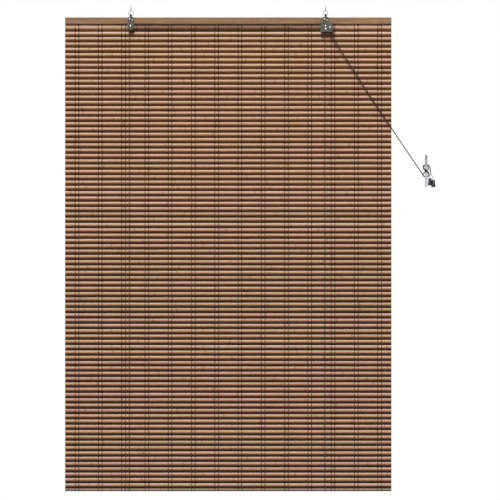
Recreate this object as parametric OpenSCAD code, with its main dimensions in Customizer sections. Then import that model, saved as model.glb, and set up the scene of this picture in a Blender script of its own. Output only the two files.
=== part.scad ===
// Bamboo roll up blind: slat mat on a head rail, hung from two ceiling hooks, with lift cords,
// a cord lock pulley and a wall cleat. Millimetres, +Z up, the front faces -Y. The origin lies on
// the ceiling, midway between the two hooks.

/* [Head rail] */
// Width of the rail and of the mat
blind_w = 1100; // [800:10:1800]
// Height of the rail seen from the front
rail_h = 22; // [20:1:30]
// Thickness of the rail from front to back
rail_t = 12; // [10:0.5:18]
// Radius on the rail's long edges
rail_edge_r = 1.5; // [0.5:0.1:3]

/* [Mat] */
// Number of slats in the mat
slat_count = 88; // [60:1:110]
// Height of one slat
slat_h = 17; // [12:0.5:24]
// Height of the broader first slat under the rail
first_slat_h = 26; // [14:0.5:32]
// Height of the narrow last slat at the bottom
last_slat_h = 8; // [6:0.5:24]
// Thickness of one slat from front to back
slat_t = 7; // [5:0.5:9]
// Depth of the flatter bulge on the back of a slat
slat_back_bulge = 1.8; // [0.5:0.1:2.5]
// Gap between two slats
slat_gap = 0.9; // [0.4:0.1:3]
// Thickness of the bound edge that joins two slats
slat_web = 1; // [0.6:0.1:2]
// Gap between the rail and the first slat
mat_gap = 0.8; // [0.5:0.1:6]

/* [Warp twine] */
// Number of twine pairs across the mat
twine_pairs = 14; // [6:1:18]
// Distance from the mat's side edge to the outer twine pair
twine_edge = 40; // [20:1:80]
// Distance between the two twines of a pair
twine_pair_w = 12; // [6:0.5:20]
// Diameter of the twine
twine_d = 1.2; // [0.8:0.1:2]

/* [Hooks and hangers] */
// Distance of each hook from the middle of the blind
hook_x = 328; // [250:1:380]
// Diameter of the hook's wire
hook_wire_d = 2.2; // [1.8:0.1:2.6]
// Inner radius of the hook's ring
hook_ring_r = 4; // [3.8:0.1:5]
// Diameter of the hook's screw shank
hook_shank_d = 2.6; // [2.2:0.1:4]
// Length of the hook's screw shank above the ceiling face
hook_shank_len = 12; // [8:0.5:25]
// Diameter of the hanger's wire
hanger_wire_d = 2; // [1.6:0.1:2.2]
// Height of the hanger from its pivot to its apex
hanger_h = 17; // [15:0.5:25]
// Width of the hanger over the middles of its two corners
hanger_w = 17.2; // [16:0.2:22]
// Radius of the black bush that the hanger pivots in
bush_r = 4.3; // [4:0.1:5]

/* [Brackets] */
// Thickness of the bracket plate on the rail
plate_t = 1.5; // [1:0.1:2.5]
// Thickness of the front cheek of a pulley
cheek_t = 1.2; // [0.8:0.1:2]
// Radius of the bracket's round upper lobe
lobe_r = 10.8; // [10:0.1:12]
// Radius of the round ends of the left pulley
pulley_end_r = 10.5; // [9:0.1:12]
// Height of the left pulley
pulley_h = 28; // [24:0.5:34]
// Width of the cord lock housing on the right
housing_w = 43; // [41:0.5:50]
// Height of the cord lock housing
housing_h = 32; // [30:0.5:36]
// Diameter of a screw shank
screw_d = 2.4; // [2:0.1:3]
// Length of a screw under its head
screw_len = 9; // [6:0.5:11]

/* [Pulleys and lock] */
// Radius of the floor of a sheave's groove
groove_r = 2.7; // [2.4:0.1:3]
// Diameter of a sheave's axle
axle_d = 3.2; // [2.6:0.1:3.6]
// Radius of the lock's roller
roller_r = 3.4; // [3:0.1:3.6]
// Travel of the lock's roller along its slot
lock_travel = 6; // [4:0.5:6]

/* [Cord] */
// Diameter of the lift cord
cord_d = 1.7; // [1.4:0.1:2]

/* [Wall cleat] */
// Distance of the cleat from the middle of the blind
cleat_x = 667; // [620:1:1200]
// Drop of the cleat's middle below the ceiling
cleat_drop = 552; // [300:1:1200]
// Length of the cleat over its two horns
cleat_len = 110; // [90:1:140]
// Width of the cleat's bar
cleat_w = 8.5; // [7:0.5:12]
// Distance between the cleat's two screw holes
cleat_hole_pitch = 21; // [20:0.5:22]
// Diameter of a cleat screw hole
cleat_hole_d = 3.8; // [3:0.1:4]

/* [Cord knobs] */
// Radius of a knob at its top
knob_top_r = 5.4; // [4.5:0.1:6]
// Radius of a knob at its lower edge
knob_low_r = 7.4; // [6.5:0.1:7.4]
// Height of a knob
knob_h = 25; // [20:0.5:30]

/* [Hidden] */
$fn = 48;
twine_names = [for (i = [1 : twine_pairs]) str("warp_twine_", i)];

// Clearances: close seats, running bores, free play and soft pieces beside hard ones
seat_gap = 0.05;
run_gap = 0.06;
side_play = 0.4;
soft_gap = 0.3;
twine_gap = 0.1;

// Heights below the ceiling
hanger_play = 0.6;
bush_rise = 8;
lobe_drop = 7;
tab_w = 4.4;
tab_wall = 1;
ring_z = -(hook_wire_d + hook_ring_r);
apex_z = ring_z - (hook_ring_r - hanger_wire_d / 2 - hanger_play);
bush_z = apex_z - hanger_h;
tab_top = bush_z - hanger_wire_d / 2 - run_gap - tab_wall;
rail_top = bush_z - bush_rise;
rail_bottom = rail_top - rail_h;
mat_top = rail_bottom - mat_gap;
slat_pitch = slat_h + slat_gap;
mat_bottom = mat_top - first_slat_h - slat_gap - (slat_count - 2) * slat_pitch - last_slat_h;

// Sheaves and the space between the pulley plates
cord_r = cord_d / 2;
axle_r = axle_d / 2;
cord_path_r = groove_r + soft_gap + cord_r;
sheave_rim_r = cord_path_r + cord_r - 0.1;
sheave_w = cord_d + 3.5;
plate_space = sheave_w + 2 * side_play;

// Layers from front to back
plate_front = -plate_t / 2;
plate_back = plate_t / 2;
cheek_back = plate_front - plate_space;
cheek_front = cheek_back - cheek_t;
sheave_y = plate_front - plate_space / 2;
rail_back = plate_back + rail_t;
mat_front = rail_back - slat_t;
twine_front_y = mat_front - twine_gap - twine_d / 2;
twine_back_y = rail_back + twine_gap + twine_d / 2;
cord_front_y = twine_front_y - twine_d / 2 - soft_gap - cord_r;
cord_back_y = twine_back_y + twine_d / 2 + soft_gap + cord_r;
cord_rail_y = rail_back + twine_gap + cord_r;
wall_y = cord_back_y + cord_r + 1;

// Axles, as places in the front view
pulley_drop = 28.3;
left_axle_at = [-hook_x - 1.5, rail_top - pulley_drop];
upper_axle_at = [hook_x - 0.6, rail_top - pulley_drop];
lower_axle_at = upper_axle_at + [1, -2 * sheave_rim_r - 0.9];
housing_at = [hook_x + 3.5, rail_top - pulley_drop - 4.4];
housing_corner_r = 3;
lock_at = housing_at + [11, -0.7];
lock_dir = [-0.8, 0.6];

// Fasteners
axle_neck_r = 1.1;
axle_head_r = 2.7;
axle_head_h = 1.4;
axle_tail_r = 2.2;
axle_tail_h = 0.7;
roller_pin_r = 1.3;
slot_gap = 0.15;
screw_r = screw_d / 2;
screw_head_r = 2.6;
screw_head_h = 1.6;
screw_spots = [[-4.8, -5.7], [4.8, -9.3]];
staple_w = 1.2;
staple_t = 0.6;
staple_bite = 6;

// Twine places
twine_pitch = (blind_w - 2 * twine_edge) / (twine_pairs - 1);
twine_staple_drop = 9;
cord_staple_drop = 11;

// Cleat: heights above the wall, and the waist that the cord is wound on
cleat_z = -cleat_drop;
cleat_foot_h = 3;
cleat_bar_low = 11;
cleat_bar_high = 18;
cleat_tip_lift = 3;
cleat_waist = 15;
cleat_foot = 17;
winding_w = 21;
winding_h = 45;
winding_low = 4;
winding_high = 10.4;
saddle_w = 17;
saddle_h = 15;
saddle_high = 21;

// Cord routes. The exits are where the cords leave the lock, the ends where they meet the winding.
left_exit = housing_at + [10.2, -housing_h / 2 - 1];
right_exit = left_exit + [-2.2, 0];
pull_y = wall_y - 9.4;
left_pull_end = [cleat_x - 9.8, pull_y, cleat_z - 9];
right_pull_end = [cleat_x - 9.8, pull_y, cleat_z - 12];
knob_back_y = wall_y - knob_low_r - 0.5;
knob_front_y = knob_back_y - 11;
left_knob_top = [24, -29];
right_knob_top = [13, -23];
// Tail points right of and above the cleat's middle, with their distance from the knob's depth
left_tail = [
    [3, 19, 10], [8, 22, 7], [13, 17.5, 4], [16, 8, 2], [18.5, -3, 0.5], [21.5, -15, 0], [23.6, -23, 0]
];
right_tail = [[6, 16, 0], [9.5, 18, 0], [12.5, 13, 0], [13.6, 4, 0], [13.8, -6, 0], [13.2, -16, 0]];
knob_bore_r = cord_r + 0.25;
knot_r = 2.6;
knot_room_r = 3.2;
knot_room_h = 6.5;

function unit(v) = v / norm(v);

// Angle at which a line to an outer point leaves a circle on its clockwise side
function leave_angle(at, point, r) = let (v = point - at) atan2(v[1], v[0]) + acos(r / norm(v));

// Puts a flat outline upright, facing front, with its back face at depth y
module upright(y, t) {
    translate([0, y, 0]) rotate([90, 0, 0]) linear_extrude(t) children();
}

// Pin along Y from depth y towards the front
module pin(at, y, r, length) {
    translate([at[0], y, at[1]]) rotate([90, 0, 0]) cylinder(h = length, r = r);
}

// Low dome that stands out of the front at depth y
module dome(at, y, r, h) {
    ball_r = (r * r + h * h) / (2 * h);
    translate([at[0], y, at[1]]) rotate([90, 0, 0]) rotate_extrude() intersection() {
        translate([0, h - ball_r]) circle(ball_r, $fn = 96);
        square([r, h]);
    }
}

// Round rod between two points
module rod(a, b, d) {
    v = b - a;
    translate(a) rotate([0, acos(v[2] / norm(v)), atan2(v[1], v[0])]) cylinder(h = norm(v), d = d);
}

// Wire in the front plane along points, bent round each inner point on its own radius. A ball a
// little thicker than the wire closes each place where a straight run meets a bend.
module wire(points, radii, d) {
    last = len(points) - 1;
    ball_d = 1.06 * d;
    inset = 0.1 * d;
    into = [for (i = [1 : last]) unit(points[i] - points[i - 1])];
    turn = [for (i = [1 : last - 1]) acos(into[i - 1] * into[i])];
    cut = concat([0], [for (i = [1 : last - 1]) radii[i - 1] * tan(turn[i - 1] / 2)], [0]);
    for (i = [1 : last]) {
        a = points[i - 1] + (cut[i - 1] + (i == 1 ? 0 : inset)) * into[i - 1];
        b = points[i] - (cut[i] + (i == last ? 0 : inset)) * into[i - 1];
        rod([a[0], 0, a[1]], [b[0], 0, b[1]], d);
    }
    for (i = [1 : last - 1]) {
        u = into[i - 1];
        v = into[i];
        middle = points[i] + unit(v - u) * radii[i - 1] / cos(turn[i - 1] / 2);
        from = points[i] + cut[i] * (u[0] * v[1] > u[1] * v[0] ? -u : v) - middle;
        translate([middle[0], 0, middle[1]]) rotate([90, 0, 0]) rotate(atan2(from[1], from[0]))
            rotate_extrude(angle = turn[i - 1]) translate([radii[i - 1], 0]) circle(d = d);
        for (seam = [points[i] - cut[i] * u, points[i] + cut[i] * v])
            translate([seam[0], 0, seam[1]]) sphere(d = ball_d);
    }
}

// Rectangle with round corners
module round_rect(w, h, r) {
    square([w - 2 * r, h], center = true);
    square([w, h - 2 * r], center = true);
    for (x = [-1, 1], y = [-1, 1]) translate([x * (w / 2 - r), y * (h / 2 - r)]) circle(r);
}

// Upright outline with two round ends
module stadium(w, h) {
    square([w, h - w], center = true);
    for (s = [-1, 1]) translate([0, s * (h - w) / 2]) circle(w / 2);
}

// Slot from a place along a direction
module slot(at, dir, length, r) {
    translate(at) circle(r);
    translate(at + dir * length) circle(r);
    translate(at) rotate(atan2(dir[1], dir[0])) translate([0, -r]) square([length, 2 * r]);
}

// Flat wire staple driven into the rail's back, its crown over things that reach to depth y
module staple(x, z, w, y) {
    translate([x - w / 2, y, z - staple_w / 2]) cube([w, staple_t, staple_w]);
    leg_y = rail_back - staple_bite;
    for (side = [x - w / 2, x + w / 2 - staple_t])
        translate([side, leg_y, z - staple_w / 2]) cube([staple_t, y - leg_y + staple_t / 2, staple_w]);
}

// Head rail

function corner(cx, cy, r, from) = [for (a = [from : 22.5 : from + 90]) [cx + r * cos(a), cy + r * sin(a)]];

function rail_section() = let (r = rail_edge_r, t = rail_t, h = rail_h) concat(
    corner(t - r, h - r, r, 0),
    corner(r, h - r, r, 90),
    corner(r, r, r, 180),
    corner(t - r, r, r, 270)
);

module head_rail() {
    color("#9c7f62") difference() {
        translate([-blind_w / 2, plate_back, rail_bottom])
            rotate([90, 0, 90]) linear_extrude(blind_w) polygon(rail_section());
        for (x = [-hook_x, hook_x], spot = screw_spots)
            pin([x, rail_top] + spot, plate_front + screw_len + seat_gap, screw_r + seat_gap, screw_len);
    }
}

// Slat mat: one wall of rounded ridges with narrow bound gaps between them

function slat_top(i) = i == 0 ? mat_top : mat_top - first_slat_h - slat_gap - (i - 1) * slat_pitch;

function slat_height(i) = i == 0 ? first_slat_h : i == slat_count - 1 ? last_slat_h : slat_h;

function slat_side(i, y, bulge) = [
    for (a = [0 : 22.5 : 180]) [y + bulge * sin(a), slat_top(i) - slat_height(i) * (1 - cos(a)) / 2]
];

module slat_mat() {
    back_y = rail_back - slat_back_bulge;
    front_y = back_y - slat_web;
    front_bulge = slat_t - slat_web - slat_back_bulge;
    front = [for (i = [0 : slat_count - 1]) each slat_side(i, front_y, -front_bulge)];
    back = [for (i = [0 : slat_count - 1]) each slat_side(i, back_y, slat_back_bulge)];
    last = len(back) - 1;
    outline = concat(front, [for (i = [last : -1 : 0]) back[i]]);
    color("#c39f7e") translate([-blind_w / 2, 0, 0])
        rotate([90, 0, 90]) linear_extrude(blind_w) polygon(outline);
}

// Warp twine: each pair has two strands down the front and two down the back and up the rail

function twine_x(i) = -blind_w / 2 + twine_edge + (i - 1) * twine_pitch;

module warp_twine(i) {
    color("#4a3422") for (s = [-1, 1]) translate([twine_x(i) + s * twine_pair_w / 2, 0, mat_bottom]) {
        translate([0, twine_front_y, 0]) cylinder(h = mat_top - mat_bottom, d = twine_d, $fn = 8);
        translate([0, twine_back_y, 0])
            cylinder(h = rail_top - twine_staple_drop / 2 - mat_bottom, d = twine_d, $fn = 8);
    }
}

module twine_staples() {
    crown_y = twine_back_y + twine_d / 2 + twine_gap;
    color("#a8a9a6") for (i = [1 : twine_pairs])
        staple(twine_x(i), rail_top - twine_staple_drop, twine_pair_w + 2 * twine_d + 2 * staple_t, crown_y);
}

module cord_staples() {
    crown_y = cord_rail_y + cord_r + twine_gap;
    color("#a8a9a6") for (x = [left_axle_at[0] - cord_path_r, lower_axle_at[0] - cord_path_r])
        staple(x, rail_top - cord_staple_drop, cord_d + 2 * staple_t + 1, crown_y);
}

// Ceiling hook: a screw shank that runs into an open ring across the blind

module ceiling_hook(x) {
    bend_r = hook_ring_r + hook_wire_d / 2;
    color("#b9bcbd") translate([x, 0, 0]) {
        cylinder(h = hook_shank_len, d = hook_shank_d);
        translate([0, 0, -hook_wire_d / 2]) {
            cylinder(h = hook_wire_d, d = hook_wire_d);
            sphere(d = hook_wire_d * 1.06);
        }
        translate([0, 0, ring_z]) rotate([0, 90, 0]) rotate([0, 0, -90])
            rotate_extrude(angle = 270) translate([bend_r, 0]) circle(d = hook_wire_d);
        translate([0, -bend_r, ring_z]) sphere(d = hook_wire_d * 1.03);
    }
}

// Wire hanger: an arch over the hook's ring, with ends turned in to pivot in the bush

module hanger(x) {
    arch_r = hook_wire_d / 2 + hanger_wire_d / 2 + 0.9;
    arch_at = [0, apex_z - arch_r];
    shoulder = [hanger_w / 2, bush_z + hanger_h * 0.32];
    peak = arch_at + [0, arch_r / sin(leave_angle(arch_at, shoulder, arch_r))];
    foot = [bush_r + hanger_wire_d, bush_z];
    end = [0.5, bush_z];
    side = [[-1, 0], [0, 1]];
    points = [side * end, side * foot, side * shoulder, peak, shoulder, foot, end];
    bend_r = hanger_wire_d * 0.8;
    color("#c4c6c6") translate([x, 0, 0])
        wire(points, [bend_r, bend_r, arch_r, bend_r, bend_r], hanger_wire_d);
}

module hanger_bush(x) {
    flat_x = bush_r - 0.7;
    color("#1b1b1c") translate([x, 0, bush_z]) difference() {
        intersection() {
            sphere(r = bush_r);
            cube([2 * flat_x, 2 * bush_r, 2 * bush_r], center = true);
        }
        rotate([0, 90, 0]) cylinder(h = 4 * bush_r, d = hanger_wire_d + 2 * run_gap, center = true);
        translate([-tab_w / 2 - seat_gap, -plate_t / 2 - seat_gap, -2 * bush_r])
            cube([tab_w + 2 * seat_gap, plate_t + 2 * seat_gap, tab_top - bush_z + seat_gap + 2 * bush_r]);
    }
}

// Bracket plates: a round lobe screwed to the rail, a tab up into the bush and a pulley plate below

module bracket_lobe(x) {
    translate([x, rail_top - lobe_drop]) circle(lobe_r);
    translate([x - tab_w / 2, rail_top - lobe_drop]) square([tab_w, tab_top - rail_top + lobe_drop]);
}

module screw_holes(x) {
    for (spot = screw_spots) translate([x, rail_top] + spot) circle(screw_r + seat_gap);
}

module left_pulley_outline() {
    translate(left_axle_at) stadium(2 * pulley_end_r, pulley_h);
}

module housing_outline() {
    translate(housing_at) round_rect(housing_w, housing_h, housing_corner_r);
}

module lock_slot() {
    slot(lock_at, lock_dir, lock_travel, roller_pin_r + slot_gap);
}

module left_bracket() {
    color("#8f979c") upright(plate_back, plate_t) difference() {
        union() {
            bracket_lobe(-hook_x);
            left_pulley_outline();
        }
        screw_holes(-hook_x);
        translate(left_axle_at) circle(axle_neck_r + seat_gap);
    }
}

module right_bracket() {
    neck_w = 16;
    housing_top = housing_at[1] + housing_h / 2;
    color("#8f979c") upright(plate_back, plate_t) difference() {
        union() {
            bracket_lobe(hook_x);
            housing_outline();
            translate([hook_x - neck_w / 2, housing_top - housing_corner_r])
                square([neck_w, rail_top - lobe_drop - housing_top + housing_corner_r]);
        }
        screw_holes(hook_x);
        for (at = [upper_axle_at, lower_axle_at]) translate(at) circle(axle_neck_r + seat_gap);
        lock_slot();
    }
}

module bracket_screws(x) {
    color("#d6d8d8") for (spot = screw_spots) {
        at = [x, rail_top] + spot;
        pin(at, plate_front + screw_len, screw_r, screw_len);
        dome(at, plate_front, screw_head_r, screw_head_h);
    }
}

// Front cheeks: each has a top edge folded back to the bracket plate

module left_cheek() {
    color("#99a1a6") {
        upright(cheek_back, cheek_t) difference() {
            left_pulley_outline();
            translate(left_axle_at) circle(axle_neck_r + seat_gap);
        }
        upright(plate_front, plate_space + cheek_t / 2) intersection() {
            translate(left_axle_at + [0, pulley_h / 2 - pulley_end_r]) difference() {
                circle(pulley_end_r);
                circle(pulley_end_r - cheek_t);
            }
            translate(left_axle_at + [-pulley_end_r * 0.55, 0]) square([pulley_end_r * 1.1, pulley_h]);
        }
    }
}

module right_cheek() {
    fold_w = housing_w - 2 * housing_corner_r - 2;
    lip_l = 8;
    lip_h = 2;
    color("#99a1a6") {
        upright(cheek_back, cheek_t) difference() {
            housing_outline();
            for (at = [upper_axle_at, lower_axle_at]) translate(at) circle(axle_neck_r + seat_gap);
            lock_slot();
        }
        upright(plate_front, plate_space + cheek_t / 2)
            translate(housing_at + [-fold_w / 2, housing_h / 2 - cheek_t]) square([fold_w, cheek_t]);
        upright(cheek_front + cheek_t / 2, lip_h + cheek_t / 2)
            translate(housing_at + [housing_w / 2 - 8, -housing_h / 2 + 5]) rotate(-45)
            square([lip_l, cheek_t], center = true);
    }
}

// Sheaves and their axles

module sheave(at) {
    floor_half = cord_r + 0.15;
    rim_half = sheave_w / 2 - 0.6;
    half = sheave_w / 2;
    color("#cfd2d3") translate([at[0], sheave_y, at[1]]) rotate([90, 0, 0]) rotate_extrude() polygon([
        [axle_r + run_gap, -half], [sheave_rim_r, -half], [sheave_rim_r, -rim_half], [groove_r, -floor_half],
        [groove_r, floor_half], [sheave_rim_r, rim_half], [sheave_rim_r, half], [axle_r + run_gap, half]
    ]);
}

module axle(at) {
    color("#e2e4e4") {
        pin(at, plate_back + axle_tail_h, axle_tail_r, axle_tail_h);
        pin(at, plate_back, axle_neck_r, plate_t + plate_space + cheek_t);
        pin(at, plate_front, axle_r, plate_space);
        dome(at, cheek_front, axle_head_r, axle_head_h);
    }
}

// Lock roller: turned in one piece with its pin, which slides in the slots of both plates

module lock_roller() {
    pin_back = plate_back + slot_gap;
    pin_front = cheek_front - slot_gap;
    color("#e2e4e4") {
        pin(lock_at, pin_back + axle_tail_h, axle_tail_r, axle_tail_h);
        pin(lock_at, pin_back, roller_pin_r, pin_back - pin_front);
        pin(lock_at, plate_front - side_play, roller_r, sheave_w);
        dome(lock_at, pin_front, axle_head_r, axle_head_h);
    }
}

// Cords: eight sided tubes swept along their routes

function route_dirs(p) = [for (i = [0 : len(p) - 1])
    i == 0 ? unit(p[1] - p[0])
    : i == len(p) - 1 ? unit(p[i] - p[i - 1])
    : unit(unit(p[i] - p[i - 1]) + unit(p[i + 1] - p[i]))
];

function square_to(v, t) = unit(v - (v * t) * t);

function route_sides(dirs, first) = [
    for (i = 0, side = square_to(first, dirs[0]); i < len(dirs);
        i = i + 1, side = i < len(dirs) ? square_to(side, dirs[i]) : side) side
];

module tube(p, d, first) {
    sides = 8;
    dirs = route_dirs(p);
    across = route_sides(dirs, first);
    last = len(p) - 1;
    points = [
        for (i = [0 : last], k = [0 : sides - 1]) let (a = (k + 0.5) * 360 / sides)
            p[i] + d / 2 * (cos(a) * across[i] + sin(a) * cross(dirs[i], across[i]))
    ];
    walls = [
        for (i = [0 : last - 1], k = [0 : sides - 1]) let (n = (k + 1) % sides)
            [i * sides + k, (i + 1) * sides + k, (i + 1) * sides + n, i * sides + n]
    ];
    ends = [[for (k = [0 : sides - 1]) k], [for (k = [sides - 1 : -1 : 0]) last * sides + k]];
    polyhedron(points, concat(walls, ends), convexity = 10);
}

// From the rail's back, down behind the mat, under it and up its front to a sheave's side
function lift_route(x, axle_at) = let (low = mat_bottom - soft_gap - cord_r) [
    [x, cord_rail_y, rail_top - 4],
    [x, cord_rail_y, rail_bottom + 4],
    [x, cord_back_y, rail_bottom - 10],
    [x, cord_back_y, mat_bottom + 3],
    [x, cord_back_y - 1.2, mat_bottom],
    [x, cord_back_y - 3.6, low],
    [x, cord_front_y + 3.6, low],
    [x, cord_front_y + 1.2, mat_bottom],
    [x, cord_front_y, mat_bottom + 3],
    [x, sheave_y, axle_at[1] - 3]
];

// Round a sheave from one angle down to another, on the cord's own radius
function sheave_turn(at, from, to, steps) = [
    for (i = [0 : steps]) let (a = from + (to - from) * i / steps)
        [at[0] + cord_path_r * cos(a), sheave_y, at[1] + cord_path_r * sin(a)]
];

function to_exit(exit) = [[exit[0], sheave_y, exit[1]]];

module left_cord() {
    route = concat(
        lift_route(left_axle_at[0] - cord_path_r, left_axle_at),
        sheave_turn(left_axle_at, 180, 90, 4),
        sheave_turn(upper_axle_at, 90, leave_angle(upper_axle_at, left_exit, cord_path_r), 3),
        to_exit(left_exit),
        [left_pull_end]
    );
    color("#6d5a41") tube(route, cord_d, [1, 0, 0]);
}

module right_cord() {
    route = concat(
        lift_route(lower_axle_at[0] - cord_path_r, lower_axle_at),
        sheave_turn(lower_axle_at, 180, leave_angle(lower_axle_at, right_exit, cord_path_r), 6),
        to_exit(right_exit),
        [right_pull_end]
    );
    color("#6d5a41") tube(route, cord_d, [1, 0, 0]);
}

// Wall cleat: side profile in depth and height, cut to a round ended bar from the front

function bar_edge(h, lift, z) = h + lift * pow(2 * z / cleat_len, 2);

function cleat_section(grow) = let (
    low = cleat_bar_low - grow,
    high = cleat_bar_high + grow,
    waist = cleat_waist + grow,
    foot = cleat_foot + grow,
    foot_h = cleat_foot_h + grow,
    tip = cleat_len / 2 + grow,
    tip_low = cleat_tip_lift + 2
) concat(
    [[0, foot], [foot_h, foot], [foot_h + 2, waist], [low - 2, waist]],
    [for (i = [0 : 6]) let (z = waist + 3 + (tip - waist - 3) * i / 6) [bar_edge(low, tip_low, z), z]],
    [for (i = [8 : -1 : -8]) let (z = tip * i / 8) [bar_edge(high, cleat_tip_lift, z), z]],
    [for (i = [6 : -1 : 0]) let (z = waist + 3 + (tip - waist - 3) * i / 6) [bar_edge(low, tip_low, z), -z]],
    [[low - 2, -waist], [foot_h + 2, -waist], [foot_h, -foot], [0, -foot]]
);

module cleat_bar(grow) {
    w = cleat_w + 2 * grow;
    intersection() {
        translate([-w / 2, 0, 0]) rotate([90, 0, 90]) linear_extrude(w)
            polygon([for (p = cleat_section(grow)) [-p[0], p[1]]]);
        upright(1, cleat_bar_high + cleat_tip_lift + 10) stadium(w, cleat_len + 2 * grow);
    }
}

module wall_cleat() {
    color("#ced3d6") translate([cleat_x, wall_y, cleat_z]) difference() {
        cleat_bar(0);
        for (s = [-1, 1]) translate([0, 1, s * cleat_hole_pitch / 2])
            rotate([90, 0, 0]) cylinder(h = cleat_bar_high + 10, d = cleat_hole_d);
    }
}

// Cord winding: the turns behind the horns and the crossing over the cleat's waist, as one form

module cord_winding() {
    color("#75623f") translate([cleat_x, wall_y, cleat_z]) difference() {
        union() {
            upright(-winding_low, winding_high - winding_low) stadium(winding_w, winding_h);
            upright(-winding_low, saddle_high - winding_low) round_rect(saddle_w, saddle_h, 4);
        }
        cleat_bar(side_play);
    }
}

// Cord tails and knobs

function knot_at(top, y) = [cleat_x + top[0], y, cleat_z + top[1] - knob_h + knot_room_h / 2];

function tail_route(tail, top, y) = concat(
    [for (t = tail) [cleat_x + t[0], y + t[2], cleat_z + t[1]]],
    [[cleat_x + top[0], y, cleat_z + top[1] + 2], knot_at(top, y)]
);

module cord_tail(tail, top, y) {
    color("#6d5a41") {
        tube(tail_route(tail, top, y), cord_d, [0, 1, 0]);
        translate(knot_at(top, y)) sphere(r = knot_r);
    }
}

module cord_knob(top, y) {
    round_r = 1.5;
    low = [cleat_x + top[0], y, cleat_z + top[1] - knob_h];
    low_r = knob_low_r - round_r;
    top_r = knob_top_r - round_r;
    color("#241c1a") translate(low) rotate_extrude() polygon(concat(
        [[knot_room_r, 0], [low_r, 0]],
        [for (a = [-60 : 30 : 0]) [low_r + round_r * cos(a), round_r + round_r * sin(a)]],
        [for (a = [0 : 30 : 60]) [top_r + round_r * cos(a), knob_h - round_r + round_r * sin(a)]],
        [[top_r, knob_h], [knob_bore_r, knob_h]],
        [[knob_bore_r, knot_room_h + 1], [knot_room_r, knot_room_h]]
    ));
}

head_rail();
slat_mat();
for (i = [1 : twine_pairs]) warp_twine(i);
twine_staples();
cord_staples();
ceiling_hook(-hook_x);  // left_ceiling_hook
ceiling_hook(hook_x);  // right_ceiling_hook
hanger(-hook_x);  // left_hanger
hanger(hook_x);  // right_hanger
hanger_bush(-hook_x);  // left_hanger_bush
hanger_bush(hook_x);  // right_hanger_bush
left_bracket();
right_bracket();
bracket_screws(-hook_x);  // left_bracket_screws
bracket_screws(hook_x);  // right_bracket_screws
left_cheek();
right_cheek();
sheave(left_axle_at);  // left_sheave
sheave(upper_axle_at);  // right_upper_sheave
sheave(lower_axle_at);  // right_lower_sheave
axle(left_axle_at);  // left_axle
axle(upper_axle_at);  // right_upper_axle
axle(lower_axle_at);  // right_lower_axle
lock_roller();
left_cord();
right_cord();
cord_winding();
cord_tail(left_tail, left_knob_top, knob_front_y);  // left_cord_tail
cord_tail(right_tail, right_knob_top, knob_back_y);  // right_cord_tail
cord_knob(left_knob_top, knob_front_y);  // left_cord_knob
cord_knob(right_knob_top, knob_back_y);  // right_cord_knob
wall_cleat();
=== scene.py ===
import math

import bmesh
import bpy
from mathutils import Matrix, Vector


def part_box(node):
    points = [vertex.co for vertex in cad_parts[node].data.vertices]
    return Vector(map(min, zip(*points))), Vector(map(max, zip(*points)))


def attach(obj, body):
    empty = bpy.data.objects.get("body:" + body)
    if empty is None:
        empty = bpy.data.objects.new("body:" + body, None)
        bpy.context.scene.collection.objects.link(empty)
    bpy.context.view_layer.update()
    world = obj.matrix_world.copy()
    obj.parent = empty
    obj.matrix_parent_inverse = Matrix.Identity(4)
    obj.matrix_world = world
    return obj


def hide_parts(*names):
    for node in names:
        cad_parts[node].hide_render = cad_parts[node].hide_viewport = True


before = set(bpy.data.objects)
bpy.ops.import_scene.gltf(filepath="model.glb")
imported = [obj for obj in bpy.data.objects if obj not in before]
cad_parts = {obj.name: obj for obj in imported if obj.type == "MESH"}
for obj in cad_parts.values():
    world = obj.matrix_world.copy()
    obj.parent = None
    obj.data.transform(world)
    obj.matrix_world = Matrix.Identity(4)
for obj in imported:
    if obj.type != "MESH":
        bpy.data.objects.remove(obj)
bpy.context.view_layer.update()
scene = bpy.context.scene
print("frame loaded:", len(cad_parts), "nodes")


def lin(hexColour):
    # sRGB hex to the linear values that shaders take
    parts = [int(hexColour[i:i + 2], 16) / 255 for i in (1, 3, 5)]
    return tuple(c / 12.92 if c <= 0.04045 else ((c + 0.055) / 1.055) ** 2.4 for c in parts) + (1.0,)


def addNode(tree, kind, settings=None, links=None):
    # a setting goes to the input of that name or number, or else to the node itself,
    # and a link comes from a socket or from a node's first output
    node = tree.nodes.new(kind)

    def pick(key):
        if isinstance(key, int):
            return node.inputs[key]
        return next((socket for socket in node.inputs if socket.name == key and socket.enabled), None)

    for key, value in (settings or {}).items():
        if key == "stops":
            stops = node.color_ramp.elements
            for place, colour in value[1:-1]:
                stops.new(place).color = lin(colour)
            for end in (0, -1):
                stops[end].position, stops[end].color = value[end][0], lin(value[end][1])
        elif pick(key) is not None:
            pick(key).default_value = value
        else:
            setattr(node, key, value)
    for key, source in (links or {}).items():
        socket = source if isinstance(source, bpy.types.NodeSocket) else source.outputs[0]
        tree.links.new(socket, pick(key))
    return node


def newMaterial(name):
    material = bpy.data.materials.new(name)
    material.use_nodes = True
    material.node_tree.nodes.clear()
    return material, material.node_tree


def finishMaterial(tree, settings, links):
    shader = addNode(tree, "ShaderNodeBsdfPrincipled", settings, links)
    addNode(tree, "ShaderNodeOutputMaterial", links={"Surface": shader})


def newPiece(name, mesh, body, slot, *replaced):
    piece = bpy.data.objects.new(name, mesh)
    scene.collection.objects.link(piece)
    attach(piece, body)
    if replaced:
        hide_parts(*replaced)
    return piece


def bandFaces(low, high, count):
    # faces between two rings of points, which start at low and at high
    return [(low + k, low + (k + 1) % count, high + (k + 1) % count, high + k) for k in range(count)]


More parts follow.
